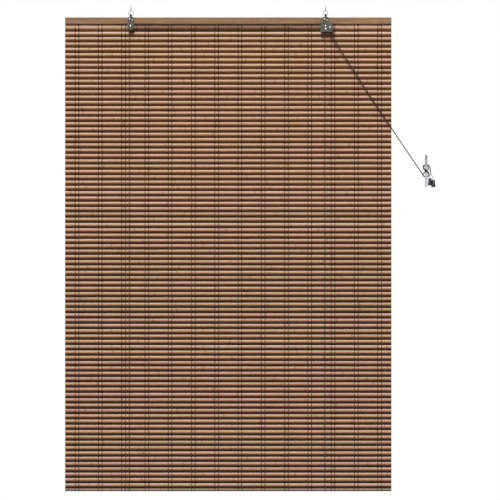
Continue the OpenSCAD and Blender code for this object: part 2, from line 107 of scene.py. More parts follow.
def faceOutward(mesh, weld=None):
    # joins points closer than weld, and turns all faces to the outside
    work = bmesh.new()
    work.from_mesh(mesh)
    if weld:
        bmesh.ops.remove_doubles(work, verts=work.verts, dist=weld)
    bmesh.ops.recalc_face_normals(work, faces=work.faces)
    work.to_mesh(mesh)
    work.free()


# Camera, square to the front and far off, since the photo shows hardly any perspective

cameraSettings = {
    "lens": 450,  # mm
    "sensor": 36,  # mm
    "aim": (73.3, 3, -817.5),  # the middle of the picture on the slats' front, mm
    "frameWidth": 1685,  # what the picture takes in at that depth, mm
    "farClip": 60,  # m
}
cameraData = bpy.data.cameras.new("photoCamera")
cameraData.lens = cameraSettings["lens"]
cameraData.sensor_width = cameraSettings["sensor"]
cameraData.clip_end = cameraSettings["farClip"]
camera = bpy.data.objects.new("photoCamera", cameraData)
scene.collection.objects.link(camera)
aim = Vector(cameraSettings["aim"]) / 1000
away = cameraSettings["frameWidth"] / 1000 * cameraSettings["lens"] / cameraSettings["sensor"]
camera.location = aim - Vector((0, away, 0))
camera.rotation_euler = (math.radians(90), 0, 0)
scene.camera = camera
print("camera set,", round(away, 2), "m away")

# Cords: each runs from its staple behind the rail down the back, under the mat, up the front, over
# its sheaves, through the lock, round the cleat and into its knob. Points in mm.

cordSettings = {
    "width": 1.7,
    "sides": 8,
    "laneGap": 0.93,  # half the distance of the two cords where they lie side by side
    "leftLength": 4.739,  # metres, from the staple to the knot
    "rightLength": 4.054,
    # depth and height of the run from the staple down behind the slats, then even steps to the foot
    "backRun": ((13.7, -37.6), (13.7, -44), (13.8, -51), (14.8, -60), (15.2, -70)),
    "backStep": 192,
    "backSteps": 8,
    "leftX": -333.35,
    "rightX": 324.55,
    "footR": 3.6,  # bend under the mat
    "footDrop": 1.15,  # from the mat to the cord's middle
    "footBends": ((11.6, 0), (6.9, -90)),  # depth of each bend's middle, and the angle it starts at
    "frontDepth": 3.3,
    "sag": 6,  # of the pull to the cleat, under the cord's own weight
    "sheaveDepth": -3.75,
    "sheaveR": 3.85,  # to the cord's middle
    # the axles that each cord turns on, left to right, and the turn on each: from, to, steps
    "leftAxles": ((-329.5, -61.9), (327.4, -61.9)),
    "leftTurns": ((180, 90, 5), (90, 25.2, 4)),
    "rightAxles": ((328.4, -72.0),),
    "rightTurns": ((180, 30.4, 9),),
    "leftExit": (341.7, -83.3),  # where each cord leaves the lock
    "rightExit": (339.5, -83.3),
    # between the rings of the tube: on the long runs, on the cleat and on the tails
    "runStep": 60,
    "cleatStep": 2.0,
    "tailStep": 2.2,
}
matLow, matHigh = (corner * 1000 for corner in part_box("slat_mat"))
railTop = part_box("head_rail")[1].z * 1000
cleatAt = Vector((667, 17.05, -552))


def braidedCord():
    # Braided polyester cord: matt dark brown, small crossing strands that catch the light
    material, tree = newMaterial("braidedPolyesterCord")
    uv = addNode(tree, "ShaderNodeUVMap", {"uv_map": "run"})
    split = addNode(tree, "ShaderNodeSeparateXYZ", links={0: uv})
    waves = []
    for way in (1, -1):
        # strands cross every 2.4 mm, coarser than the real 1 mm so that they show
        along = addNode(tree, "ShaderNodeMath", {"operation": "MULTIPLY", 1: 1 / 0.0024}, {0: split})
        around = addNode(tree, "ShaderNodeMath", {"operation": "MULTIPLY", 1: 2.0 * way}, {0: split.outputs[1]})
        both = addNode(tree, "ShaderNodeMath", {"operation": "ADD"}, {0: along, 1: around})
        turn = addNode(tree, "ShaderNodeMath", {"operation": "MULTIPLY", 1: 2 * math.pi}, {0: both})
        waves.append(addNode(tree, "ShaderNodeMath", {"operation": "SINE"}, {0: turn}))
    weave = addNode(tree, "ShaderNodeMath", {"operation": "MULTIPLY"}, {0: waves[0], 1: waves[1]})
    level = addNode(tree, "ShaderNodeMapRange", {"From Min": -1.0, "From Max": 1.0}, {"Value": weave})
    colour = addNode(tree, "ShaderNodeValToRGB", {"stops": ((0, "#120c07"), (1, "#2e2417"))}, {0: level})
    bump = addNode(tree, "ShaderNodeBump", {"Strength": 0.5, "Distance": 0.0003}, {"Height": level})
    finishMaterial(tree, {"Roughness": 0.75, "Specular IOR Level": 0.3}, {"Base Color": colour, "Normal": bump})
    return material


def smoothRun(points, step):
    # centripetal spline through the points, with a ring about every step
    p = [2 * points[0] - points[1], *points, 2 * points[-1] - points[-2]]
    out = [points[0]]
    for i in range(1, len(p) - 2):
        a, b, c, d = p[i - 1:i + 3]
        t0 = 0
        t1 = t0 + (b - a).length ** 0.5
        t2 = t1 + (c - b).length ** 0.5
        t3 = t2 + (d - c).length ** 0.5
        count = max(1, min(60, round((c - b).length / step)))
        for k in range(1, count + 1):
            t = t1 + (t2 - t1) * k / count
            ab = a + (b - a) * ((t - t0) / (t1 - t0))
            bc = b + (c - b) * ((t - t1) / (t2 - t1))
            cd = c + (d - c) * ((t - t2) / (t3 - t2))
            abc = ab + (bc - ab) * ((t - t0) / (t2 - t0))
            bcd = bc + (cd - bc) * ((t - t1) / (t3 - t1))
            out.append(abc + (bcd - abc) * ((t - t1) / (t2 - t1)))
    return out


def tubeMesh(name, points, radii, sides, material):
    # round tube in metres along points in mm, with a map of metres along and turns round
    rings, sideways = [], None
    for i, point in enumerate(points):
        ahead = (points[min(i + 1, len(points) - 1)] - points[max(i - 1, 0)]).normalized()
        if sideways is None:
            sideways = ahead.orthogonal()
        sideways = (sideways - ahead * sideways.dot(ahead)).normalized()
        other = ahead.cross(sideways)
        turns = [2 * math.pi * k / sides for k in range(sides)]
        rings.append([point + radii[i] * (math.cos(a) * sideways + math.sin(a) * other) for a in turns])
    places = [p / 1000 for ring in rings for p in ring]
    faces = [face for i in range(len(points) - 1) for face in bandFaces(i * sides, (i + 1) * sides, sides)]
    runs = [0.0]
    for a, b in zip(points, points[1:]):
        runs.append(runs[-1] + (b - a).length / 1000)
    spots = [spot for i in range(len(points) - 1) for k in range(sides) for spot in (
        (runs[i], k / sides), (runs[i], (k + 1) / sides), (runs[i + 1], (k + 1) / sides), (runs[i + 1], k / sides))]
    faces.append(tuple(reversed(range(sides))))
    faces.append(tuple(range((len(points) - 1) * sides, len(points) * sides)))
    spots += [(0, 0)] * (2 * sides)
    mesh = bpy.data.meshes.new(name)
    mesh.from_pydata(places, [], faces)
    layer = mesh.uv_layers.new(name="run")
    for loop, spot in zip(layer.data, spots):
        loop.uv = spot
    mesh.polygons.foreach_set("use_smooth", [True] * (len(faces) - 2) + [False] * 2)
    mesh.materials.append(material)
    return mesh


def liftRun(x, axleZ):
    # down the back, under the foot in two bends, and up the front
    back = [(x, depth, z) for depth, z in cordSettings["backRun"]]
    depth, z = cordSettings["backRun"][-1]
    back += [(x, depth, z - cordSettings["backStep"] * i) for i in range(1, cordSettings["backSteps"] + 1)]
    r = cordSettings["footR"]
    turnZ = matLow.z - cordSettings["footDrop"] + r
    under = []
    for centre, start in cordSettings["footBends"]:
        for a in range(start, start - 91, -18):
            under.append((x, centre + r * math.cos(math.radians(a)), turnZ + r * math.sin(math.radians(a))))
    # straight up from just over the bend to just under the sheave
    low = Vector((x, cordSettings["frontDepth"], turnZ + 4))
    top = Vector((x, cordSettings["sheaveDepth"], axleZ - 3))
    front = [low.lerp(top, i / 9) for i in range(10)]
    return [Vector(p) for p in back + under] + front


def sheaveTurn(at, start, end, steps):
    r = cordSettings["sheaveR"]
    turns = [math.radians(start + (end - start) * i / steps) for i in range(steps + 1)]
    return [Vector((at[0] + r * math.cos(a), cordSettings["sheaveDepth"], at[1] + r * math.sin(a))) for a in turns]


def onCleat(points):
    # right of the cleat, above its middle and out from the wall
    return [cleatAt + Vector((u, -h, w)) for u, w, h in points]


# the pair of cords on the cleat: under the lower horn, over the waist, under the upper horn, and again
figureEight = [
    (-11.0, -11.2, 9.4), (-8.2, -16.0, 8.6), (-4.2, -19.2, 7.6), (0, -20.0, 7.0), (4.2, -18.9, 7.4), (7.7, -15.5, 8.8),
    (8.8, -11.0, 11.6), (7.6, -7.0, 15.6), (5.0, -4.2, 18.7), (0, -0.2, 19.2), (-5.0, 4.0, 18.7), (-7.8, 7.4, 15.4),
    (-9.2, 11.4, 11.4), (-7.6, 15.8, 8.4), (-4.0, 18.6, 7.2), (0, 19.4, 6.8), (4.0, 18.2, 7.4), (7.4, 15.0, 8.9),
    (8.4, 11.2, 11.8), (7.4, 7.4, 16.0), (5.0, 4.6, 19.5), (0, 0.6, 21.2), (-5.0, -3.6, 19.5), (-7.6, -6.6, 16.2),
    (-10.2, -11.4, 12.8), (-8.4, -16.2, 10.8), (-4.2, -19.4, 9.9), (0, -20.2, 9.5), (4.2, -19.1, 9.9),
    (7.9, -15.9, 11.0), (9.4, -11.4, 13.9), (8.6, -6.4, 18.2), (5.4, -2.2, 21.6), (0, 2.6, 23.2), (-5.4, 7.2, 21.2),
    (-8.8, 11.2, 17.2), (-10.2, 15.2, 12.8), (-8.0, 19.6, 10.2), (-4.0, 21.8, 9.4), (0, 22.0, 9.2),
]
leftTail = [
    (3.6, 22.9, 9.6), (7.2, 21.9, 11.0), (10.6, 19.0, 13.0), (13.3, 13.6, 15.0), (14.9, 6.0, 16.9), (15.7, -2.0, 18.2),
    (16.9, -9.0, 18.9), (19.8, -16.5, 18.9), (22.7, -23.2, 18.9), (24, -28, 18.9), (24, -39, 18.9), (24, -50.75, 18.9),
]
rightTail = [
    (3.6, 20.6, 9.4), (6.8, 19.6, 9.2), (9.7, 17.0, 8.6), (12.0, 12.0, 8.0), (13.3, 4, 7.9), (13.7, -6, 7.9),
    (13.2, -16, 7.9), (13, -21, 7.9), (13, -33, 7.9), (13, -44.75, 7.9),
]


def cordLanes():
    pair = smoothRun(onCleat(figureEight), cordSettings["cleatStep"])
    lanes = ([], [])
    for i, point in enumerate(pair):
        ahead = pair[min(i + 1, len(pair) - 1)] - pair[max(i - 1, 0)]
        left = Vector((-ahead.z, 0, ahead.x)).normalized()
        lanes[0].append(point + cordSettings["laneGap"] * left)
        lanes[1].append(point - cordSettings["laneGap"] * left)
    return lanes


def pullRun(start, end):
    # from the lock to the cleat in 12 steps, with a little sag
    sag = cordSettings["sag"]
    return [start.lerp(end, i / 12) - Vector((0, 0, sag * math.sin(math.pi * i / 12))) for i in range(1, 12)]


def cordRoute(side, lane, tail):
    axles = cordSettings[side + "Axles"]
    route = liftRun(cordSettings[side + "X"], axles[0][1])
    for at, (start, end, steps) in zip(axles, cordSettings[side + "Turns"]):
        route += sheaveTurn(at, start, end, steps)
    leave = Vector((cordSettings[side + "Exit"][0], cordSettings["sheaveDepth"], cordSettings[side + "Exit"][1]))
    route += [leave] + pullRun(leave, lane[0])
    lift = smoothRun(route + lane[:1], cordSettings["runStep"])[:-1]
    return lift + lane + smoothRun([lane[-1]] + onCleat(tail), cordSettings["tailStep"])[1:]


cordMaterial = braidedCord()
leftLane, rightLane = cordLanes()
cordRuns = {"left": cordRoute("left", leftLane, leftTail), "right": cordRoute("right", rightLane, rightTail)}
for side, run in cordRuns.items():
    radii = [cordSettings["width"] / 2] * len(run)
    mesh = tubeMesh(side + "LiftCord", run, radii, cordSettings["sides"], cordMaterial)
    replaced = [side + "_cord", side + "_cord_tail"] + (["cord_winding"] if side == "left" else [])
    newPiece(side + "LiftCord", mesh, "blind", "cord", *replaced)
    metres = sum((b - a).length for a, b in zip(run, run[1:])) / 1000
    print(side, "cord:", len(run), "rings,", round(metres, 4), "m")

# Slats: 88 half round lengths of bamboo, each with its own tone, thickness and lean

slatSettings = {
    "count": 88,
    "pitch": 17.9,
    "firstHeight": 26.9,  # the broad slat under the rail
    "lastHeight": 8.4,
    "overlap": 0.3,  # the slats touch, so no light comes through
    "width": 1100,
    "frontBulge": 4.6,
    "backBulge": 2.3,
    "middleDepth": 10.4,
    # how far the front stands out, from the top edge to the bottom edge
    "front": ((0, 0), (0.06, 0.4), (0.15, 0.7), (0.28, 0.91), (0.4, 0.99), (0.5, 1), (0.58, 0.93), (0.68, 0.7),
              (0.8, 0.42), (0.9, 0.2), (1, 0)),
    "thinnest": 0.9,  # a slat's depth, as a share of the deepest
    "lean": 1.6,  # degrees either way
    "drop": 1580,  # of the whole mat
    "jointGap": 310,  # along the cane
    "vertices": 24,
    "segments": 30,
    "endRing": 0.467,  # where the rings next to the ends are, which move out to them
    "seed": 11,
    "toneSeed": 5,
    "shiftSeed": 8,
}

slatTop = (matHigh.z + 0.75) / 1000


def stainedBamboo():
    # Split bamboo, stained and waxed: warm tans that change from slat to slat, long fibres along the
    # slat, faint joints, and a satin sheen on the rounded skin
    material, tree = newMaterial("stainedSplitBamboo")
    coords = addNode(tree, "ShaderNodeTexCoord").outputs["Object"]
    tone, shift, across = (addNode(tree, "ShaderNodeAttribute", {"attribute_name": name}).outputs["Fac"]
                           for name in ("slatTone", "slatShift", "slatAcross"))
    cane = addNode(tree, "ShaderNodeValToRGB", {"stops": (
        (0, "#d7ab99"), (0.22, "#deb39c"), (0.45, "#d3ad8f"), (0.66, "#deb595"), (0.84, "#c6a88a"), (1, "#e2bfa8"))},
        {0: tone})
    moved = addNode(tree, "ShaderNodeCombineXYZ", links={0: shift})
    place = addNode(tree, "ShaderNodeVectorMath", {"operation": "ADD"}, {0: coords, 1: moved})
    # patches of stain about 250 mm long
    patches = addNode(tree, "ShaderNodeMapping", {"Scale": (4, 20, 56)}, {"Vector": place})
    patchNoise = addNode(tree, "ShaderNodeTexNoise", {"Scale": 1.0, "Detail": 2.0}, {"Vector": patches}).outputs["Fac"]
    tint = addNode(tree, "ShaderNodeValToRGB", {"stops": ((0.3, "#e7e6f1"), (0.68, "#e0e6dd"))}, {0: patchNoise})
    warm = addNode(tree, "ShaderNodeMix", {"data_type": "RGBA", "blend_type": "MULTIPLY", 0: 1.0}, {6: cane, 7: tint})
    # fibres about 1.6 mm wide and 120 mm long
    fibres = addNode(tree, "ShaderNodeMapping", {"Scale": (8, 300, 620)}, {"Vector": place})
    fibreNoise = addNode(tree, "ShaderNodeTexNoise", {"Scale": 1.0, "Detail": 3.0}, {"Vector": fibres}).outputs["Fac"]
    streaks = addNode(tree, "ShaderNodeValToRGB", {"stops": ((0.3, "#cfc3b4"), (0.62, "#ffffff"))}, {0: fibreNoise})
    grain = addNode(tree, "ShaderNodeMix", {"data_type": "RGBA", "blend_type": "MULTIPLY", 0: 0.8},
                    {6: warm.outputs[2], 7: streaks})
    # joints of the cane, dark rings at places of their own on each slat
    split = addNode(tree, "ShaderNodeSeparateXYZ", links={0: place})
    halfGap = slatSettings["jointGap"] / 2000
    fromJoint = addNode(tree, "ShaderNodeMath", {"operation": "PINGPONG", 1: halfGap}, {0: split})
    joint = addNode(tree, "ShaderNodeMapRange",
                    {"From Min": 0.001, "From Max": 0.004, "To Min": 0.45, "To Max": 0.0}, {"Value": fromJoint})
    ringed = addNode(tree, "ShaderNodeMix", {"data_type": "RGBA", "blend_type": "MULTIPLY", 7: lin("#9c8468")},
                     {0: joint, 6: grain.outputs[2]})
    # slightly paler in a narrow band at each pair of twines, 78.5 mm apart
    axis = addNode(tree, "ShaderNodeSeparateXYZ", links={0: coords})
    fromFirst = addNode(tree, "ShaderNodeMath", {"operation": "ADD", 1: 0.51}, {0: axis})
    fromPair = addNode(tree, "ShaderNodeMath", {"operation": "PINGPONG", 1: 0.51 / 13}, {0: fromFirst})
    nearTwinePair = addNode(tree, "ShaderNodeMapRange",
                      {"From Min": 0.003, "From Max": 0.007, "To Min": 0.06, "To Max": 0.0}, {"Value": fromPair})
    paler = addNode(tree, "ShaderNodeMix", {"data_type": "RGBA", 7: lin("#e2cfc0")}, {0: nearTwinePair, 6: ringed.outputs[2]})
    # painted shade: the lower half of each slat and the groove under it are painted darker, as shade from light falling
    # from above, with the upper edge left light; on the broad first one, which ends 27 mm under the mat's top, this
    # shade starts lower down
    onFirst = addNode(tree, "ShaderNodeMapRange", {"From Min": slatTop - 0.0275, "From Max": slatTop - 0.0265},
                      {"Value": axis.outputs[2]})
    broadAcross = addNode(tree, "ShaderNodeMath", {"operation": "MULTIPLY_ADD", 1: 1.5, 2: -0.5}, {0: across})
    reach = addNode(tree, "ShaderNodeMix", {"data_type": "FLOAT"}, {0: onFirst, 2: across, 3: broadAcross})
    paintedSlatShade = addNode(tree, "ShaderNodeValToRGB", {"stops": (
        (0, "#fffdfb"), (0.09, "#f9f7f3"), (0.18, "#e0dedc"), (0.27, "#dbd8d4"), (0.36, "#d2c6b8"), (0.46, "#a68c6c"),
        (0.56, "#6a5030"), (0.7, "#3c2408"), (1, "#2a1804"))}, {0: reach})
    # painted light fall-off: the slats are painted lighter at the top of the mat and darker towards the foot, and the
    # painted shade in the grooves is lifted near the top, as painted fill light, and less towards the foot
    slatFoot = slatTop - slatSettings["drop"] / 1000
    downMat = addNode(tree, "ShaderNodeMapRange", {"From Min": slatTop, "From Max": slatFoot},
                      {"Value": axis.outputs[2]})
    paintedBandFill = addNode(tree, "ShaderNodeValToRGB", {"stops": (
        (0, "#866c4c"), (0.19, "#765b39"), (0.44, "#5b4226"), (0.72, "#412a0c"), (1, "#311a02"))}, {0: downMat})
    paintedFalloff = addNode(tree, "ShaderNodeMapRange", {"To Min": 1.1, "To Max": 0.78}, {"Value": downMat})
    shadeWithFalloff = addNode(tree, "ShaderNodeVectorMath", {"operation": "SCALE"}, {0: paintedSlatShade, "Scale": paintedFalloff})
    paintedShadeAndFill = addNode(tree, "ShaderNodeMix", {"data_type": "RGBA", "blend_type": "LIGHTEN", 0: 1.0},
                       {6: shadeWithFalloff, 7: paintedBandFill})
    stainAndPaintedShade = addNode(tree, "ShaderNodeMix", {"data_type": "RGBA", "blend_type": "MULTIPLY", 0: 1.0},
                      {6: paler.outputs[2], 7: paintedShadeAndFill.outputs[2]})
    # painted shade and light on the first slat: painted shade between the pulleys, and painted light outside them,
    # which lifts that part out of the rail's shadow
    middle = addNode(tree, "ShaderNodeMath", {"operation": "ABSOLUTE"}, {0: axis})
    outsidePulleys = addNode(tree, "ShaderNodeMapRange", {"From Min": 0.315, "From Max": 0.33}, {"Value": middle})
    firstSlatPaintedLight = addNode(tree, "ShaderNodeMix", {"data_type": "RGBA", 6: lin("#c3bcc2"), 7: (1.15, 1.2, 1.3, 1)},
                        {0: outsidePulleys})
    colourWithPaintedLight = addNode(tree, "ShaderNodeMix", {"data_type": "RGBA", "blend_type": "MULTIPLY"},
                   {0: onFirst, 6: stainAndPaintedShade.outputs[2], 7: firstSlatPaintedLight.outputs[2]})
    bump = addNode(tree, "ShaderNodeBump", {"Strength": 0.25, "Distance": 0.0004}, {"Height": fibreNoise})
    rough = addNode(tree, "ShaderNodeMapRange", {"To Min": 0.38, "To Max": 0.58}, {"Value": fibreNoise})
    finishMaterial(tree, {"Specular IOR Level": 0.15},
                   {"Base Color": colourWithPaintedLight.outputs[2], "Roughness": rough, "Normal": bump})
    return material


def newTree(name, sizes):
    tree = bpy.data.node_groups.new(name, "GeometryNodeTree")
    tree.interface.new_socket("Geometry", in_out="INPUT", socket_type="NodeSocketGeometry")
    for label, kind in sizes.items():
        tree.interface.new_socket(label, in_out="INPUT", socket_type="NodeSocket" + kind)
    tree.interface.new_socket("Geometry", in_out="OUTPUT", socket_type="NodeSocketGeometry")
    return tree, addNode(tree, "NodeGroupInput").outputs


def runTree(name, tree, values):
    # evaluates the tree once and keeps the result as a plain mesh
    holder = bpy.data.objects.new(name, bpy.data.meshes.new(name))
    scene.collection.objects.link(holder)
    modifier = holder.modifiers.new("nodes", "NODES")
    modifier.node_group = tree
    for item in tree.interface.items_tree:
        if item.in_out == "INPUT" and item.name in values:
            modifier[item.identifier] = values[item.name]
    graph = bpy.context.evaluated_depsgraph_get()
    result = holder.evaluated_get(graph)
    mesh = bpy.data.meshes.new_from_object(result, preserve_all_data_layers=True, depsgraph=graph)
    holder.modifiers.remove(modifier)
    bpy.data.objects.remove(holder)
    mesh.name = name
    return mesh


def slatTree():
    tree, size = newTree("slatMat", {
        "Slat count": "Int", "Slat pitch": "Float", "Slat height": "Float", "Slat width": "Float",
        "First slat extra": "Float", "Last slat extra": "Float", "Front bulge": "Float", "Back bulge": "Float",
        "Middle depth": "Float", "Top": "Float", "Lean": "Float", "Seed": "Int", "Bamboo": "Material",
    })
    # one slat from a cylinder: its length along X, its front drawn to the curve and its back to a bow
    bar = addNode(tree, "GeometryNodeMeshCylinder", {
        "Vertices": slatSettings["vertices"], "Side Segments": slatSettings["segments"], "Radius": 1.0, "Depth": 1.0})
    place = addNode(tree, "GeometryNodeInputPosition")
    split = addNode(tree, "ShaderNodeSeparateXYZ", links={0: place})
    front = addNode(tree, "ShaderNodeMath", {"operation": "LESS_THAN", 1: 0.0}, {0: split})
    down = addNode(tree, "ShaderNodeMapRange", {"From Min": 1.0, "From Max": -1.0}, {"Value": split.outputs[1]})
    shape = addNode(tree, "ShaderNodeFloatCurve", links={"Value": down})
    curve = shape.mapping.curves[0]
    stations = slatSettings["front"]
    curve.points[0].location, curve.points[-1].location = stations[0], stations[-1]
    for station in stations[1:-1]:
        curve.points.new(*station)
    shape.mapping.update()
    out = addNode(tree, "ShaderNodeMath", {"operation": "MULTIPLY"}, {0: shape, 1: size["Front bulge"]})
    ahead = addNode(tree, "ShaderNodeMath", {"operation": "MULTIPLY", 1: -1.0}, {0: out})
    behind = addNode(tree, "ShaderNodeMath", {"operation": "MULTIPLY"}, {0: split, 1: size["Back bulge"]})
    depth = addNode(tree, "ShaderNodeMix", {"data_type": "FLOAT"}, {0: front, 2: behind, 3: ahead})
    half = addNode(tree, "ShaderNodeMath", {"operation": "MULTIPLY", 1: 0.5}, {0: size["Slat height"]})
    level = addNode(tree, "ShaderNodeMath", {"operation": "MULTIPLY"}, {0: split.outputs[1], 1: half})
    # the outer rings go close to the ends, so that the shading stays even up to the cut edge
    ringAt = slatSettings["endRing"]
    spread = addNode(tree, "ShaderNodeMapRange",
                     {"From Min": -ringAt, "From Max": ringAt, "To Min": -0.5, "To Max": 0.5},
                     {"Value": split.outputs[2]})
    along = addNode(tree, "ShaderNodeMath", {"operation": "MULTIPLY"}, {0: spread, 1: size["Slat width"]})
    spot = addNode(tree, "ShaderNodeCombineXYZ", links={0: along, 1: depth, 2: level})
    marked = addNode(tree, "GeometryNodeStoreNamedAttribute",
                     {"data_type": "FLOAT", "domain": "POINT", "Name": "slatAcross"},
                     {"Geometry": bar.outputs["Mesh"], "Value": down})
    slat = addNode(tree, "GeometryNodeSetPosition", links={"Geometry": marked, "Position": spot})
    # a row of slats from the top down, the first one broader and the last one narrower
    index = addNode(tree, "GeometryNodeInputIndex")
    end = addNode(tree, "ShaderNodeMath", {"operation": "SUBTRACT", 1: 1.5}, {0: size["Slat count"]})
    isFirst = addNode(tree, "ShaderNodeMath", {"operation": "LESS_THAN", 1: 0.5}, {0: index})
    isLast = addNode(tree, "ShaderNodeMath", {"operation": "GREATER_THAN"}, {0: index, 1: end})
    first = addNode(tree, "ShaderNodeMath", {"operation": "MULTIPLY"}, {0: isFirst, 1: size["First slat extra"]})
    last = addNode(tree, "ShaderNodeMath", {"operation": "MULTIPLY"}, {0: isLast, 1: size["Last slat extra"]})
    more = addNode(tree, "ShaderNodeMath", {"operation": "ADD"}, {0: first, 1: last})
    stretch = addNode(tree, "ShaderNodeMath", {"operation": "ADD", 1: 1.0}, {0: more})
    shift = addNode(tree, "ShaderNodeMath", {"operation": "SUBTRACT"}, {0: first, 1: last})
    halfPitch = addNode(tree, "ShaderNodeMath", {"operation": "MULTIPLY", 1: 0.5}, {0: size["Slat pitch"]})
    rise = addNode(tree, "ShaderNodeMath", {"operation": "MULTIPLY"}, {0: shift, 1: halfPitch})
    raised = addNode(tree, "ShaderNodeCombineXYZ", links={2: rise})
    broad = addNode(tree, "ShaderNodeMath", {"operation": "MULTIPLY_ADD", 1: 2.0, 2: 1.0},
                    {0: size["First slat extra"]})
    fromTop = addNode(tree, "ShaderNodeMath", {"operation": "MULTIPLY"}, {0: broad, 1: halfPitch})
    startZ = addNode(tree, "ShaderNodeMath", {"operation": "SUBTRACT"}, {0: size["Top"], 1: fromTop})
    start = addNode(tree, "ShaderNodeCombineXYZ", links={1: size["Middle depth"], 2: startZ})
    fall = addNode(tree, "ShaderNodeMath", {"operation": "MULTIPLY", 1: -1.0}, {0: size["Slat pitch"]})
    step = addNode(tree, "ShaderNodeCombineXYZ", links={2: fall})
    even = addNode(tree, "GeometryNodeMeshLine", links={
        "Count": size["Slat count"], "Start Location": start, "Offset": step})
    row = addNode(tree, "GeometryNodeSetPosition", links={"Geometry": even, "Offset": raised})
    leanBack = addNode(tree, "ShaderNodeMath", {"operation": "MULTIPLY", 1: -1.0}, {0: size["Lean"]})
    leanLow = addNode(tree, "ShaderNodeCombineXYZ", links={0: leanBack})
    leanHigh = addNode(tree, "ShaderNodeCombineXYZ", links={0: size["Lean"]})
    lean = addNode(tree, "FunctionNodeRandomValue", {"data_type": "FLOAT_VECTOR"},
                   {0: leanLow, 1: leanHigh, "Seed": size["Seed"]})
    thin = addNode(tree, "FunctionNodeRandomValue",
                   {"data_type": "FLOAT", "Min": slatSettings["thinnest"], "Max": 1.0}, {"Seed": size["Seed"]})
    thick = addNode(tree, "ShaderNodeCombineXYZ", {0: 1.0}, {1: thin.outputs[1], 2: stretch})
    geometry = addNode(tree, "GeometryNodeInstanceOnPoints", links={
        "Points": row, "Instance": slat, "Rotation": lean, "Scale": thick})
    for name, high, seed in (("slatTone", 1.0, "toneSeed"), ("slatShift", 40.0, "shiftSeed")):
        value = addNode(tree, "FunctionNodeRandomValue",
                        {"data_type": "FLOAT", "Min": 0.0, "Max": high, "Seed": slatSettings[seed]})
        geometry = addNode(tree, "GeometryNodeStoreNamedAttribute",
                           {"data_type": "FLOAT", "domain": "INSTANCE", "Name": name},
                           {"Geometry": geometry, "Value": value.outputs[1]})
    whole = addNode(tree, "GeometryNodeRealizeInstances", links={0: geometry})
    facing = addNode(tree, "ShaderNodeSeparateXYZ", links={0: addNode(tree, "GeometryNodeInputNormal")})
    endwise = addNode(tree, "ShaderNodeMath", {"operation": "ABSOLUTE"}, {0: facing})
    side = addNode(tree, "ShaderNodeMath", {"operation": "LESS_THAN", 1: 0.7}, {0: endwise})
    smooth = addNode(tree, "GeometryNodeSetShadeSmooth", links={"Geometry": whole, "Shade Smooth": side})
    done = addNode(tree, "GeometryNodeSetMaterial", links={"Geometry": smooth, "Material": size["Bamboo"]})
    addNode(tree, "NodeGroupOutput", links={0: done})
    return tree


slatPitch = slatSettings["pitch"] / 1000
firstExtra = slatSettings["firstHeight"] / slatSettings["pitch"] - 1
lastExtra = slatSettings["lastHeight"] / slatSettings["pitch"] - 1
slatMesh = runTree("slats", slatTree(), {
    "Slat count": slatSettings["count"], "Slat pitch": slatPitch, "First slat extra": firstExtra,
    "Last slat extra": lastExtra, "Slat height": slatPitch + slatSettings["overlap"] / 1000,
    "Slat width": slatSettings["width"] / 1000, "Front bulge": slatSettings["frontBulge"] / 1000,
    "Back bulge": slatSettings["backBulge"] / 1000, "Middle depth": slatSettings["middleDepth"] / 1000, "Top": slatTop,
    "Lean": math.radians(slatSettings["lean"]), "Seed": slatSettings["seed"], "Bamboo": stainedBamboo(),
})
newPiece("slats", slatMesh, "blind", "bamboo", "slat_mat")
print("slats:", len(slatMesh.polygons), "faces")

# Warp twines: each pair is two strands over the front and two over the back, pinched between slats

twineSettings = {
    "pairs": 14,
    "firstX": -510,
    "pitch": 1020 / 13,
    "halfGap": 6,
    "width": 2.1,
    "frontDepth": 5.0,
    "backDepth": 13.4,
    "pinchDepth": 9.6,
    "railReach": -38.1,
    "stepsPerSlat": 6,
    "sides": 5,
}


def brownTwine():
    # Two ply cotton twine, dyed dark brown: matt, with a slanted twist that breaks up the light
    material, tree = newMaterial("dyedCottonTwine")
    coords = addNode(tree, "ShaderNodeTexCoord").outputs["Object"]
    # a ply every 3 mm, coarser than the real 1.5 mm so that it shows
    twist = addNode(tree, "ShaderNodeTexWave", {
        "wave_type": "BANDS", "bands_direction": "DIAGONAL", "Scale": 60.0, "Distortion": 1.5, "Detail": 1.0},
        {"Vector": coords}).outputs["Fac"]
    colour = addNode(tree, "ShaderNodeValToRGB", {"stops": ((0, "#22130a"), (1, "#4a2c1a"))}, {0: twist})
    bump = addNode(tree, "ShaderNodeBump", {"Strength": 0.5, "Distance": 0.0003}, {"Height": twist})
    finishMaterial(tree, {"Roughness": 0.9, "Specular IOR Level": 0.15}, {"Base Color": colour, "Normal": bump})
    return material


